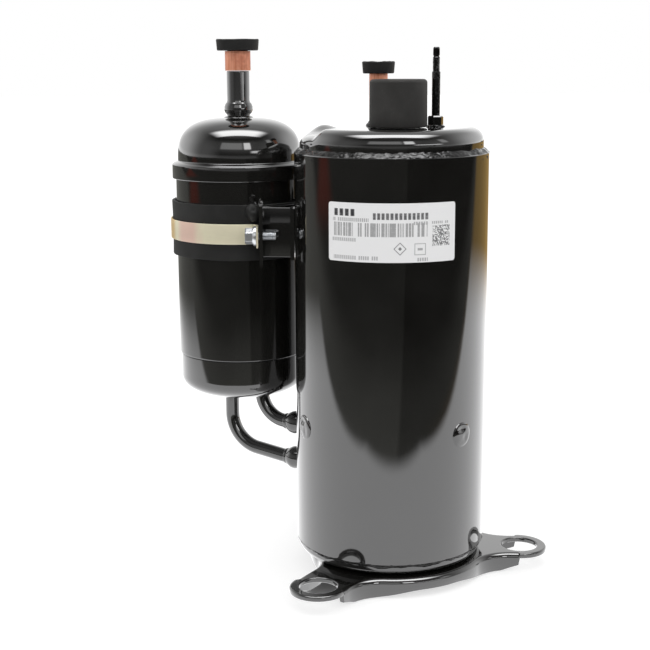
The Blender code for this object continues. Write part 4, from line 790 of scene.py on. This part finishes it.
def make_base_plate():
    ears = sorted(EAR_AZIMUTHS)
    stations = []
    for previous, azimuth in zip([ears[-1], *ears], ears):
        c, s = polar(1.0, azimuth)
        before, after = ear_half(waist_after(previous)), ear_half(waist_after(azimuth))
        for flip, rows in ((-1, before[:0:-1][1:]), (1, after)):
            for (x, y), (u, v) in rows:
                spot = Vector((x * c - flip * y * s, x * s + flip * y * c))
                out = Vector((u * c - flip * v * s, u * s + flip * v * c))
                stations.append((spot, out, skirt_depth(x, y)))
    wall, under = 3.0 * mm, 8.0 * mm  # the sheet, and the height of its underside
    bm = bmesh.new()
    rows = []
    for spot, out, low in stations:
        has_skirt = share_of(under - low, 0.0, 4.0 * mm)
        bend = (1.1 + 2.0 * has_skirt) * mm
        inside = 0.9 * mm * has_skirt + 0.02 * mm
        soft = 0.5 * mm * has_skirt
        section = [(bend + 0.5 * mm, PLATE_TOP), *arc((bend, PLATE_TOP - bend), bend, 90, 180, 8)]
        section += [(0.0, low + 0.5 * mm), (0.15 * mm, low + 0.15 * mm), (0.5 * mm, low)]
        section += [(wall - 0.5 * mm, low), (wall - 0.15 * mm, low + 0.3 * soft)]
        section += [(wall, low + soft), (wall, max(under - inside, low + soft))]
        section += arc((wall + inside, under - inside), inside, 180, 90, 3, 1)
        section.append((wall + inside + 0.5 * mm, under))
        rows.append([bm.verts.new((spot.x - out.x * u, spot.y - out.y * u, v)) for u, v in section])
    skin(bm, rows + rows[:1], closed=False)
    outlines = {"top": [[row[0] for row in rows]], "under": [[row[-1] for row in rows]]}
    holes = [((0.0, 0.0), 46.0 * mm, 128)] + [(polar(EAR_REACH, a), EAR_HOLE, 72) for a in EAR_AZIMUTHS]
    edge, brink = 0.8 * mm, 0.4 * mm
    for centre, radius, steps in holes:
        rim = radius + edge
        section = [(rim + brink, PLATE_TOP), *arc((rim, PLATE_TOP - edge), edge, 90, 180, 5)]
        section += [(radius, under + brink), (radius + brink, under), (rim + brink, under)]
        loops = []
        for r, z in section:
            loops.append([bm.verts.new(at(spot, z)) for spot in arc(centre, r, 0, 360.0, steps)[:-1]])
        skin(bm, loops)
        outlines["top"].append(loops[0])
        outlines["under"].append(loops[-1])
    for side in outlines.values():
        edges = []
        for loop in side:
            for near, far in zip(loop, loop[1:] + loop[:1]):
                edges.append(bm.edges.get((near, far)) or bm.edges.new((near, far)))
        bmesh.ops.triangle_fill(bm, use_beauty=True, use_dissolve=False, edges=edges, normal=(0, 0, 1))
    piece("base_plate_pressing", bm, "black_enamel", "housing", "base_plate", sharp=40)


# ---- fittings on the top cap


def make_terminal():
    cup = drawn((0, 1.6), (9.5, 1.6), (10.5, 2.4), (14.6, 2.0), (14.6, 0), (13.0, 0), up=SEAT)
    cup += drawn((13.0, 268.8), (0, 268.8))
    lathe("terminal_cup", cup, "pressed_steel", "terminal_body", place=at(COVER_AT), soft=0.5 * mm,
          rounds=3, steps=96)
    glass = drawn((0, 3.2), (1.9, 3.2), (3.0, 1.9), (3.0, 0), (0, 0), up=SEAT)
    pin = drawn((0, 14.0), (1.0, 14.0), (1.6, 12.8), up=SEAT)
    pin += drawn((1.6, 0.6), (1.1, 0), (0, 0), up=261.8 * mm)
    for number, spot in enumerate(arc(COVER_AT, 6.5 * mm, 90, 330, 2), 1):
        name, place = f"pin_seal_{number}", at(spot)
        lathe(name, glass, "cover_rubber", place=place, soft=0.5 * mm, steps=40)
        name, node = f"pin_post_{number}", f"terminal_pin_{number}"
        lathe(name, pin, "bright_zinc", node, place=place, soft=0.3 * mm, rounds=3, steps=36)


def make_cover():
    high = SEAT + 27.6 * mm
    profile = [(0, high)]
    profile += [(15.0 * mm * step / 8, high - 0.12 * mm * (1 - step / 8)) for step in range(1, 9)]
    profile += arc((14.75 * mm, high - 2.1 * mm), 2.1 * mm, 90, 0, 8, 1)
    profile += drawn((17.0, 4.0), (17.0, 0.9), (16.7, 0.25), (16.2, 0), (15.2, 0), up=SEAT)
    profile += drawn((15.1, -4.0), (13.7, -2.5), (0, -2.5), up=high)

    def moulded(spot):
        azimuth = math.atan2(spot.y, spot.x)
        away = Vector((spot.x, spot.y, 0))
        if away.length < 1 * mm:
            return spot
        soft = noise.noise(spot / (15 * mm)) * 0.16 * mm
        return spot + away.normalized() * (soft + 0.05 * mm * math.cos(azimuth * 2))

    name = "terminal_cover"
    lathe("terminal_cap_moulding", profile, "cover_rubber", name, place=at(COVER_AT), steps=128,
          shaped=moulded, body=name)


def make_stud():
    """The cover's stud: a hexagon foot, a plain shank and a thinner threaded end, all painted over."""
    place = at(STUD_AT)
    top, thread_low = SEAT + 46.0 * mm, SEAT + 32.0 * mm
    profile = drawn((0, 0), (1.5, 0), (1.95, -0.6), (1.95, -4.6), up=top)
    profile += drawn((1.7, -5.0), (1.7, -5.6), (2.1, -6.0), up=top)
    height = top - 6.2 * mm
    while height > thread_low + 0.4 * mm:
        profile += drawn((2.12, 0), (1.98, -0.35), up=height)
        height -= 0.7 * mm
    profile += drawn((2.1, 32.0), (2.45, 31.5), (2.45, 6.0), (2.9, 5.4), (2.9, 3.0), (0, 3.0), up=SEAT)

    def nicked(spot):
        away = Vector((spot.x, spot.y, 0))
        if away.length < 1e-5:
            return spot
        return spot + away.normalized() * noise.noise(spot / (2.2 * mm) + Vector((4, 0, 0))) * 0.12 * mm

    lathe("stud_shank", profile, "painted_weld", "cover_stud", place=place, steps=48, shaped=nicked)

    def blunt(flat, radius):
        return min(flat, radius * 0.975) if radius > 4.0 else radius

    rows = [(2.0, 0.0), (4.6, 0.0), (4.9, 0.5), (4.9, 5.4), (4.3, 6.1), (2.0, 6.2)]
    nut = hexagon([(radius, SEAT + height * mm) for radius, height in rows], 60, blunt, 8.0)
    piece("stud_nut", moved(nut, place), "black_enamel", "housing", "cover_stud", sharp=24)

    def blob(spot):
        x, y = noise.noise(spot / (2 * mm)), noise.noise(spot / (2 * mm) + Vector((9, 0, 0)))
        return spot + Vector((x, y, 0)) * 0.7 * mm

    weld = drawn((0, 1.2), (4.2, 1.1), (5.2, 0.5), (5.6, -0.2), (0, -0.2), up=CAP_TOP)
    lathe("stud_weld", weld, "painted_weld", place=place, soft=0.5 * mm, rounds=3, steps=60, shaped=blob)


def plug_head(radius, low, high, dish):
    """The head of a rubber plug from its flat top, with a raised rim, to the edge of its underside."""
    top = drawn((-3.4, -dish), (-2.4, -0.2), (-1.6, 0), (-0.5, 0), (0, -0.6), up=high)
    bottom = drawn((-0.5, 0.5), (-0.9, 0), up=low)
    return [(0, top[0][1]), *[(radius + inset, height) for inset, height in top + bottom]]


def torn(size, depth, from_height):
    """A shaper that makes a moulded rim slightly ragged above a height."""

    def shaped(spot):
        share = share_of(spot.z, from_height, from_height + 1.5 * mm)
        wave = noise.noise(spot / size + Vector((2, 5, 0))) * depth
        return spot + Vector((0, 0, wave * share - depth * 0.5 * share))

    return shaped


def make_discharge():
    place = at(DISCHARGE_AT)
    low, high = 304.6 * mm, 312.0 * mm  # the plug's head
    pipe = drawn((5.6, 260.8), (5.6, 307.7), (4.6, 307.7), (4.6, 260.8))
    lathe("discharge_stub", pipe, "copper_tube", "discharge_pipe", place=place, soft=0.3 * mm,
          rounds=3, steps=64, shaped=wavy(7 * mm, 0.07 * mm))
    collar = drawn((5.6, -1), (8.0, -1), (7.6, 0.7), (6.4, 1.8), (5.6, 3.2), up=CAP_TOP)
    lathe("discharge_braze", collar, "painted_weld", place=place, soft=0.8 * mm, steps=64,
          shaped=wavy(3 * mm, 0.2 * mm))
    plug = plug_head(9.95 * mm, low, high, 1.3)
    plug += drawn((5.9, 0), (5.9, 3.4), (4.3, 3.4), (4.3, -8.4), (3.7, -9.0), (0, -9.0), up=low)
    lathe("discharge_cap", plug, "black_rubber", "discharge_plug", place=place, soft=0.35 * mm,
          rounds=3, steps=96, shaped=torn(5 * mm, 0.7 * mm, high - 1.2 * mm), body="discharge_plug")


# ---- accumulator


def dome(radius, base, rise, power, first, last, count):
    points = []
    for step in range(count + 1):
        share = math.sin(math.radians(90) * (first + (last - first) * step / count))
        points.append((radius * max(1 - share**power, 0.0) ** (1 / power), base + rise * share))
    return points


def make_accumulator():
    place = at(TANK_AT)
    low, high, wall = 126.6 * mm, 249.0 * mm, 2 * mm
    bore = TANK_RADIUS - wall
    tube = [(TANK_RADIUS, low), (TANK_RADIUS, high), (bore, high), (bore, low)]
    tube = rows_up(softened(tube, 0.55 * mm), 28)
    lathe("tank_wall", tube, "black_enamel", "accumulator_tank", place=place,
          shaped=wavy(30 * mm, 0.05 * mm, 3.0))

    skirt_in, skirt_out = TANK_RADIUS + 0.25 * mm, 43.1 * mm
    base, rise, radius, hole = 250.5 * mm, 27.0 * mm, 39.4 * mm, 6.9 * mm
    profile = [(hole, base + rise), (hole + 1.5 * mm, base + rise)]
    profile += dome(radius, base, rise, 3.0, 0.0, 0.88, 44)[::-1]
    profile += [(41.6 * mm, 249.7 * mm), (skirt_out, 248.6 * mm), (skirt_out, 239.6 * mm)]
    profile += [(skirt_in, 239.5 * mm)]
    profile += [(skirt_in, 249.2 * mm), (37.6 * mm, 251.0 * mm)]
    profile += dome(radius - wall, base + 1 * mm, rise - 3 * mm, 2.7, 0.05, 0.8, 8)
    profile += [(hole, base + rise - wall)]
    lathe("tank_dome", profile, "black_enamel", "accumulator_top", place=place, soft=0.7 * mm,
          shaped=wavy(26 * mm, 0.10 * mm, 5.0))

    radius, straight = 38.6 * mm, 111.85 * mm
    rim, lip = low - 0.1 * mm, low + 9.5 * mm
    profile = dome(radius + 1.6 * mm, straight, -14.75 * mm, 2.4, 0.0, 1.0, 36)[::-1]
    profile += [(radius + 1.6 * mm, rim - 0.6 * mm), (radius + 0.9 * mm, rim)]
    profile += [(radius, rim), (radius, lip), (radius - wall, lip)]
    profile += dome(radius - wall, straight, -12.5 * mm, 2.4, 0.0, 1.0, 10)
    lathe("tank_bowl", profile, "black_enamel", "accumulator_bottom", place=place,
          shaped=wavy(26 * mm, 0.10 * mm, 8.0))

    bead = 277.8 * mm
    spout = [(7.25 * mm, 306.2 * mm)]
    spout += drawn(
        (7.25, 10.2), (7.55, 9.0), (8.3, 8.3), (9.05, 6.4), (9.15, 4.2), (8.6, 2.6), (7.3, 1.2), (7.0, 0.2),
        (6.6, -0.2), up=bead,
    )
    spout += drawn((6.6, 271.6), (5.6, 271.6), (5.6, 306.2))
    lathe("inlet_spout", spout, "black_enamel", "inlet_pipe", place=place, soft=0.6 * mm, rounds=3, steps=96,
          shaped=wavy(6 * mm, 0.06 * mm, 2.0))
    collar = drawn((6.6, 276.6), (9.6, 276.6), (9.3, 277.7), (7.6, 278.4), (6.6, 279.2))
    lathe("inlet_fillet", collar, "black_enamel", place=place, soft=0.6 * mm, rounds=3, steps=96,
          shaped=wavy(4 * mm, 0.2 * mm, 6.0))

    stub = drawn((8.05, 306.5), (8.05, 318.6), (7.0, 318.6), (7.0, 306.5))
    lathe("suction_stub", stub, "copper_tube", "inlet_stub", place=place, soft=0.3 * mm, rounds=3, steps=72,
          shaped=wavy(6 * mm, 0.10 * mm, 1.0))
    low, high = 318.9 * mm, 326.1 * mm
    plug = plug_head(13.5 * mm, low, high, 1.7) + drawn((6.4, 0), (6.4, -7.5), (5.6, -9.0), (0, -9.0), up=low)
    lathe("suction_cap", plug, "black_rubber", "suction_plug", place=place, soft=0.35 * mm,
          rounds=3, steps=96, shaped=torn(8 * mm, 0.5 * mm, high - 1.2 * mm), body="suction_plug")


def make_outlets():
    """The two suction tubes, each bent out of the tank's bottom into its bell on the shell."""
    outward = facing(math.radians(SUCTION_AZIMUTH))
    bell = drawn(
        (4.6, 17.2), (5.1, 17.0), (5.4, 15.6), (5.3, 14.9), (6.4, 13.6), (7.4, 11.2), (7.6, 8.8), (7.1, 6.2),
        (6.8, 3.0), (7.6, -0.6), (4.6, -0.6),
    )
    mouth, turn = 58.5 + 16.2 + 2.0, 83.0
    for name, reach, height, bend in (("lower", 117.0, 57.5, 22.0), ("upper", 93.6, 81.3, 18.0)):
        end = reach - bend + polar(bend, turn)[0]
        rise = max(end - mouth, 0.0) * math.tan(math.radians(7.0))
        centre = (reach - bend, height + rise + polar(bend, turn)[1])
        route = [(reach, 222.0), (reach, 150.0), (reach, centre[1] + 4.0), *arc(centre, bend, 0, -turn, 24)]
        route += [(mouth, height), (58.6, height), (44.0, height)]
        places = [at(polar(reach * mm, SUCTION_AZIMUTH), z * mm) for reach, z in route]
        pipe = swept(places, 4.5 * mm, 3.6 * mm, 40)
        piece(f"outlet_pipe_{name}", pipe, "black_enamel", "housing", f"outlet_tube_{name}")
        lathe(f"port_bell_{name}", bell, "black_enamel", f"nipple_{name}", soft=1.0 * mm, steps=64,
              shaped=wavy(5 * mm, 0.12 * mm, 4.0), tilt=outward,
              place=at(polar(SHELL_RADIUS, SUCTION_AZIMUTH), height * mm))


# ---- holder


def in_tank_frame(points, flip=False):
    """World (x, y) points from ones about the tank's axis, with x towards the shell."""
    angle = math.radians(SUCTION_AZIMUTH + 180.0)
    side = 1 if flip else -1
    out = []
    for x, y in points:
        across = TANK_AT[0] + x * math.cos(angle) - side * y * math.sin(angle)
        out.append((across, TANK_AT[1] + x * math.sin(angle) + side * y * math.cos(angle)))
    return out


HALF_ANGLE = 41.0
EAR_TURN = 60.0


def clamp_ear(radius, length=18.0 * mm):
    root = Vector(polar(radius, HALF_ANGLE))
    return root, root + Vector(polar(length, EAR_TURN))


def along(start, end, count):
    return [tuple(Vector(start).lerp(Vector(end), step / count)) for step in range(count + 1)]


def make_holder():
    place = at(TANK_AT)
    low, high = 191.5 * mm, 225.8 * mm
    inner, groove = TANK_RADIUS + 0.2 * mm, SLEEVE_RADIUS - 0.35 * mm
    profile = [(SLEEVE_RADIUS, low), (SLEEVE_RADIUS, 200.0 * mm), (SLEEVE_RADIUS, 201.6 * mm)]
    profile += [(groove, 202.2 * mm), (groove, 213.8 * mm), (SLEEVE_RADIUS, 214.4 * mm)]
    profile += [(SLEEVE_RADIUS, 216.0 * mm), (SLEEVE_RADIUS, high), (inner, high), (inner, low)]

    def pulled(spot):
        away = Vector((spot.x, spot.y, 0)).normalized()
        end = min(abs(spot.z - low), abs(spot.z - high))
        flare = 0.5 * mm * math.exp(-end / (2.5 * mm)) * (0.6 + noise.noise(spot / (14 * mm)))
        side = 1 if spot.z > 205 * mm else -1
        wave = noise.noise(Vector((spot.x, spot.y, 0)) / (16 * mm)) * 0.35 * mm * side
        return spot + away * flare + Vector((0, 0, wave))

    profile = softened(profile, 0.45 * mm, 3, skip=(1, 6))
    lathe("sleeve_band", profile, "black_rubber", "rubber_sleeve", place=place, shaped=pulled)

    band = SLEEVE_RADIUS + 0.8 * mm
    middle = SADDLE_RADIUS + 1.5 * mm
    root, tip = clamp_ear(middle)
    aside = Vector(polar(2.3 * mm, EAR_TURN + 90))
    ends = [root.lerp(tip, 0.12) + aside, tip + aside]
    leave = math.degrees(math.atan2(ends[0].y, ends[0].x)) + 3.0
    around = arc((0.0, 0.0), band, leave, 360 - leave, 140)
    path = along(ends[1], ends[0], 6)[:-1] + [tuple((Vector(ends[0]) + Vector(around[0])) / 2)] + around
    mirrored = [(x, -y) for x, y in path[:6]][::-1]
    path = path + [(path[6][0], -path[6][1])] + mirrored
    strap = plate_strip(in_tank_frame(path), 1.0 * mm, 201.7 * mm, 214.2 * mm, 0.3 * mm)
    piece("strap_of_steel", strap, "yellow_zinc", "housing", "strap_band")

    wall = 2.6 * mm
    low, high = 193.7 * mm, 225.0 * mm

    def bracket(name, bm):
        piece(f"bracket_{name}", bm, "black_enamel", "housing", "holder_bracket")

    saddle = arc((0.0, 0.0), middle, -HALF_ANGLE, HALF_ANGLE, 48)
    bracket("saddle", plate_strip(in_tank_frame(saddle), wall, low, high))
    foot = SHELL_RADIUS + 0.2 * mm + wall / 2
    ear = along(root.lerp(tip, 0.02), tip, 14)
    lows, highs = [], []
    for step in range(15):
        lows.append(190.2 * mm + 3.0 * mm * max(0.0, 1 - step / 5) ** 2)
        drop = 4.0 * mm * max(0.0, 1 - step / 7) ** 2
        highs.append(228.6 * mm - drop - 1.6 * mm * max(0.0, (step - 12) / 2))
    for flip, side in ((False, "near"), (True, "far")):
        bracket(f"ear_{side}", plate_strip(in_tank_frame(ear, flip), wall - 0.5 * mm, lows, highs))
        lip = enumerate(in_tank_frame(ear[3:11], flip))
        lip = [at(spot, 228.2 * mm + 1.2 * mm * math.sin(step * 0.5)) for step, spot in lip]
        bracket(f"lip_{side}", swept(lip, 1.3 * mm, 0.0, 20))
        turn = -1 if flip else 1
        start = in_tank_frame([root.lerp(tip, 0.06)], flip)[0]
        bearing = math.degrees(math.atan2(start[1], start[0]))
        web = along(start, polar(foot - 0.4 * mm, bearing), 6)
        bracket(f"web_{side}", plate_strip(web, wall - 0.6 * mm, low + 0.4 * mm, high - 0.4 * mm))
        pad = arc((0.0, 0.0), foot, bearing - turn * 2.6, bearing + turn * 10.4, 16)
        bracket(f"foot_{side}", plate_strip(pad, wall, low, high))
    tab = bmesh.new()
    bmesh.ops.create_icosphere(tab, subdivisions=4, radius=4.6 * mm)
    for vert in tab.verts:
        vert.co *= 1 + noise.noise(vert.co / (4 * mm)) * 0.25
        vert.co.z *= 1.15
    spot = in_tank_frame([polar(SLEEVE_RADIUS + 1.6 * mm, 47.5)])[0]
    piece("sleeve_tab", moved(tab, at(spot, 221.4 * mm)), "black_rubber", "housing", "rubber_sleeve")
    make_screw(root, tip)


def make_screw(root, tip):
    """The clamp's screw: a hexagon head on a washer, and a threaded shank through both ears."""
    outward = Vector(polar(1.0, EAR_TURN + 90))
    spot = root.lerp(tip, 0.5) + outward * 1.5 * mm
    start, end = in_tank_frame([tuple(spot), tuple(spot + outward)])
    outward = (Vector(end) - Vector(start)).normalized()
    turn = facing(math.atan2(outward.y, outward.x))
    place = at(start, 207.95 * mm)
    seat = 1.6 * mm
    head = seat + 6.8 * mm

    def blunt(flat, radius):
        return min(flat, radius * 0.98) if radius > 4.5 else flat

    rows = [(2.0, head - 0.9 * mm), (3.2, head - 0.8 * mm), (4.2, head), (4.8, head), (5.2, head - 0.7 * mm)]
    rows += [(5.2, seat + 1.8 * mm), (2.0, seat + 1.6 * mm)]
    bm = hexagon(rows, 72, blunt)
    piece("screw_head", moved(bm, place, turn), "bright_zinc", "housing", "strap_screw", sharp=22)
    profile = drawn((0, 2.2), (5.3, 2.2), (6.1, 1.3), (6.1, 0.1), (2.4, 0), up=seat)
    height = seat - 0.4 * mm
    while height > seat - 11.2 * mm:
        profile += drawn((2.6, 0), (2.25, -0.4), up=height)
        height -= 0.8 * mm
    profile += drawn((2.2, -11.6), (1.8, -12.0), (0, -12.0), up=seat)
    lathe("screw_shank", profile, "bright_zinc", "strap_screw", place=place, tilt=turn, steps=48, sharp=22)


make_shell()
make_top_cap()
make_top_seam()
make_bottom_cap()
make_label()
make_base_plate()
make_terminal()
make_cover()
make_stud()
make_discharge()
make_accumulator()
make_outlets()
make_holder()

# ---- the pump and the motor keep their own solids, with a finish each ----
for subpart in frame["record"]["subparts"]:
    solid = frame["nodes"][subpart["node"]]
    for number in range(len(solid.data.materials)):
        solid.data.materials[number] = FINISHES[subpart["material_slot"]].material


# ---- studio


FLOOR_SPAN = 12.0
PAINTED_SHADOW_OFF = (4 * mm, 22 * mm)  # a painted shadow: a dim patch on the floor, offset from the middle of the front ear's hole
# the painted shadow's inner and outer radius
PAINTED_SHADOW_EDGE = (9 * mm, 17 * mm)
CAMERA_PLACE = (-0.05667, -0.76989, 0.31078)
CAMERA_YAW, CAMERA_PITCH, CAMERA_ROLL = 1.2132, 11.5909, -0.276
CAMERA_LENS, SENSOR_WIDTH = 70.682, 36.0


def make_floor():
    """A pale floor: white to the eye apart from a painted shadow seen through the front ear's hole, with the
    sheet's edge and the darker room beyond it in reflections.
    """
    bm = bmesh.new()
    corners = ((-1, -1), (1, -1), (1, 1), (-1, 1))
    bm.faces.new([bm.verts.new((x * FLOOR_SPAN, y * FLOOR_SPAN, -0.6 * mm)) for x, y in corners])
    mesh = bpy.data.meshes.new("floor")
    bm.to_mesh(mesh)
    bm.free()
    floor = bpy.data.objects.new("floor", mesh)
    bpy.context.scene.collection.objects.link(floor)

    look = bpy.data.materials.new("pale_floor")
    look.use_nodes = True
    tree = look.node_tree
    tree.nodes.clear()
    place = add(tree, "ShaderNodeTexCoord", out="Object")
    x, y, _ = split(tree, place)
    away = (x * x + y * y) ** 0.5
    front = (abs(x) - 0.18).over(0.0) * 0.5 - 0.31
    sheet = (y - front).rise(-0.03, 0.03) * (1 - (away - x * 0.2).rise(0.62, 1.3))
    warm = x.rise(0.15, 0.5) * (y - front).rise(-0.1, 0.2)
    red = (1 - x.rise(-2.4, -1.5)) * y.band(-0.5, 0.35, 0.25)
    left = 1 - (x + 0.052 + (y + 0.055) * 0.27).rise(-0.02, 0.02)
    near = 1 - (y - front).rise(-0.55, -0.02)
    dim = left * (0.20 - near * 0.15) + (1 - left) * (0.10 - near * 0.085)
    shade = dim.blend((0.0, 0.0, 0.0), (1.0, 1.0, 0.92))
    shade = red.blend(shade, (0.22, 0.05, 0.035))
    shade = warm.blend(shade, (0.43, 0.28, 0.10))
    shade = (y * 0.42 - abs(x)).rise(0.0, 0.25).blend(shade, (1.1, 1.1, 1.1))
    shade = sheet.blend(shade, (1.40, 1.40, 1.41))
    mirror = add(tree, "ShaderNodeEmission", None, {"Color": shade, "Strength": 1.0})
    paper = add(tree, "ShaderNodeBsdfDiffuse", None, {"Color": (0.60, 0.60, 0.60)})
    ear_x, ear_y = polar(EAR_REACH, EAR_AZIMUTHS[1])
    off_x, off_y = x - ear_x - PAINTED_SHADOW_OFF[0], y - ear_y - PAINTED_SHADOW_OFF[1]
    # painted shadow: the floor's glow fades out in a disc seen through the front ear's hole, standing in for
    # the shade under the plate
    outside_painted_shadow = ((off_x**2.0 + off_y**2.0) ** 0.5).rise(*PAINTED_SHADOW_EDGE)
    glow = add(tree, "ShaderNodeEmission", None, {"Color": (1.0, 1.0, 1.0), "Strength": outside_painted_shadow * 0.6})
    lit = add(tree, "ShaderNodeAddShader", None, {0: paper, 1: glow})
    seen = add(tree, "ShaderNodeLightPath", out="Is Camera Ray")
    plain = add(tree, "ShaderNodeMixShader", None, {0: seen, 1: paper, 2: lit})
    gloss = add(tree, "ShaderNodeLightPath", out="Is Glossy Ray")
    final = add(tree, "ShaderNodeMixShader", None, {0: gloss, 1: plain, 2: mirror})
    output = tree.nodes.new("ShaderNodeOutputMaterial")
    tree.links.new(final.socket, output.inputs[0])
    mesh.materials.append(look)


def make_room():
    """White to the eye; in reflections white behind and at the sides, and dim in front."""
    world = bpy.data.worlds.new("studio")
    bpy.context.scene.world = world
    world.use_nodes = True
    tree = world.node_tree
    tree.nodes.clear()
    toward = add(tree, "ShaderNodeTexCoord", out="Generated")
    x, y, z = split(tree, toward)
    rise = z.sum("ARCSINE", z.under(1.0)) * math.degrees(1.0)
    turn = x.sum("ARCTAN2", x, 0 - y) * math.degrees(1.0)
    beyond = (y + abs(x) * 0.35).rise(0.0, 0.75)
    level = beyond * (1 - z.rise(0.3, 0.9) * 0.5) + abs(x).rise(0.5, 0.95) * 0.35 + 0.05
    level = level + (1 - rise.rise(0.0, 4.0)) * 0.25
    lift = z.over(0.05)
    over_x, over_y = x / lift, y / lift
    box = (1 - abs(over_x).rise(0.35, 0.75)) * over_y.rise(-0.46, -0.34) * (1 - over_y.rise(0.0, 0.25))
    level = level + box * z.rise(0.5, 0.8) * 6.5 + z.rise(0.75, 0.97) * 0.35
    window = turn.band(-34, 9, 2.0) * 0.85 + turn.band(12, 25, 1.5) * 4.0
    level = level + window * rise.band(15, 35, 2.0)
    glow = (1 - (abs(turn) / 75).rise(0.2, 1.0)) * rise.band(10, 40, 8.0) * 0.25
    level = level + glow + turn.band(25, 60, 4.0) * rise.band(6.5, 10.5, 1.2) * 3.5
    level = level + turn.band(62, 72, 2.0) * rise.band(18, 38, 3.0)
    gloss = add(tree, "ShaderNodeLightPath", out="Is Glossy Ray")
    seen = add(tree, "ShaderNodeLightPath", out="Is Camera Ray")
    plain = seen.over(0.98)
    strength = plain * (1 - gloss) + level * gloss
    light = add(tree, "ShaderNodeBackground", None, {"Color": (1.0, 1.0, 1.0), "Strength": strength})
    output = tree.nodes.new("ShaderNodeOutputWorld")
    tree.links.new(light.socket, output.inputs[0])


def lamp(name, place, aim, size, radiance):
    """A flat soft lamp that gives the same brightness at any size; what gloss shows is the room."""
    data = bpy.data.lights.new(name, "AREA")
    data.shape = "RECTANGLE"
    data.size, data.size_y = size
    data.energy = radiance * math.pi * size[0] * size[1]
    obj = bpy.data.objects.new(name, data)
    obj.location = place
    obj.rotation_mode = "QUATERNION"
    obj.rotation_quaternion = (Vector(aim) - Vector(place)).to_track_quat("-Z", "Y")
    obj.visible_glossy = False
    obj.visible_camera = False
    bpy.context.scene.collection.objects.link(obj)


def make_camera():
    """The camera at eye height in front, a little to the left, looking slightly down."""
    yaw, pitch, roll = [math.radians(a) for a in (CAMERA_YAW, CAMERA_PITCH, CAMERA_ROLL)]
    forward = Vector((math.sin(yaw) * math.cos(pitch), math.cos(yaw) * math.cos(pitch), -math.sin(pitch)))
    right = Vector((math.cos(yaw), -math.sin(yaw), 0.0))
    up = right.cross(forward)
    level = right * math.cos(roll) + up * math.sin(roll)
    top = up * math.cos(roll) - right * math.sin(roll)
    turn = Matrix((level, top, -forward)).transposed().to_4x4()
    data = bpy.data.cameras.new("camera")
    data.lens, data.sensor_width = CAMERA_LENS, SENSOR_WIDTH
    data.clip_start, data.clip_end = 0.05, 60.0
    obj = bpy.data.objects.new("camera", data)
    obj.matrix_world = Matrix.Translation(CAMERA_PLACE) @ turn
    bpy.context.scene.collection.objects.link(obj)
    bpy.context.scene.camera = obj


make_floor()
make_room()
lamp("front_fill", (-0.25, -1.9, 1.15), (-0.05, 0.0, 0.15), (0.7, 0.45), 1.15)
lamp("side_strip", (1.6, -0.75, 0.9), (-0.05, 0.0, 0.2), (0.12, 0.8), 1.2)
make_camera()

bpy.context.scene.view_settings.view_transform = "Standard"
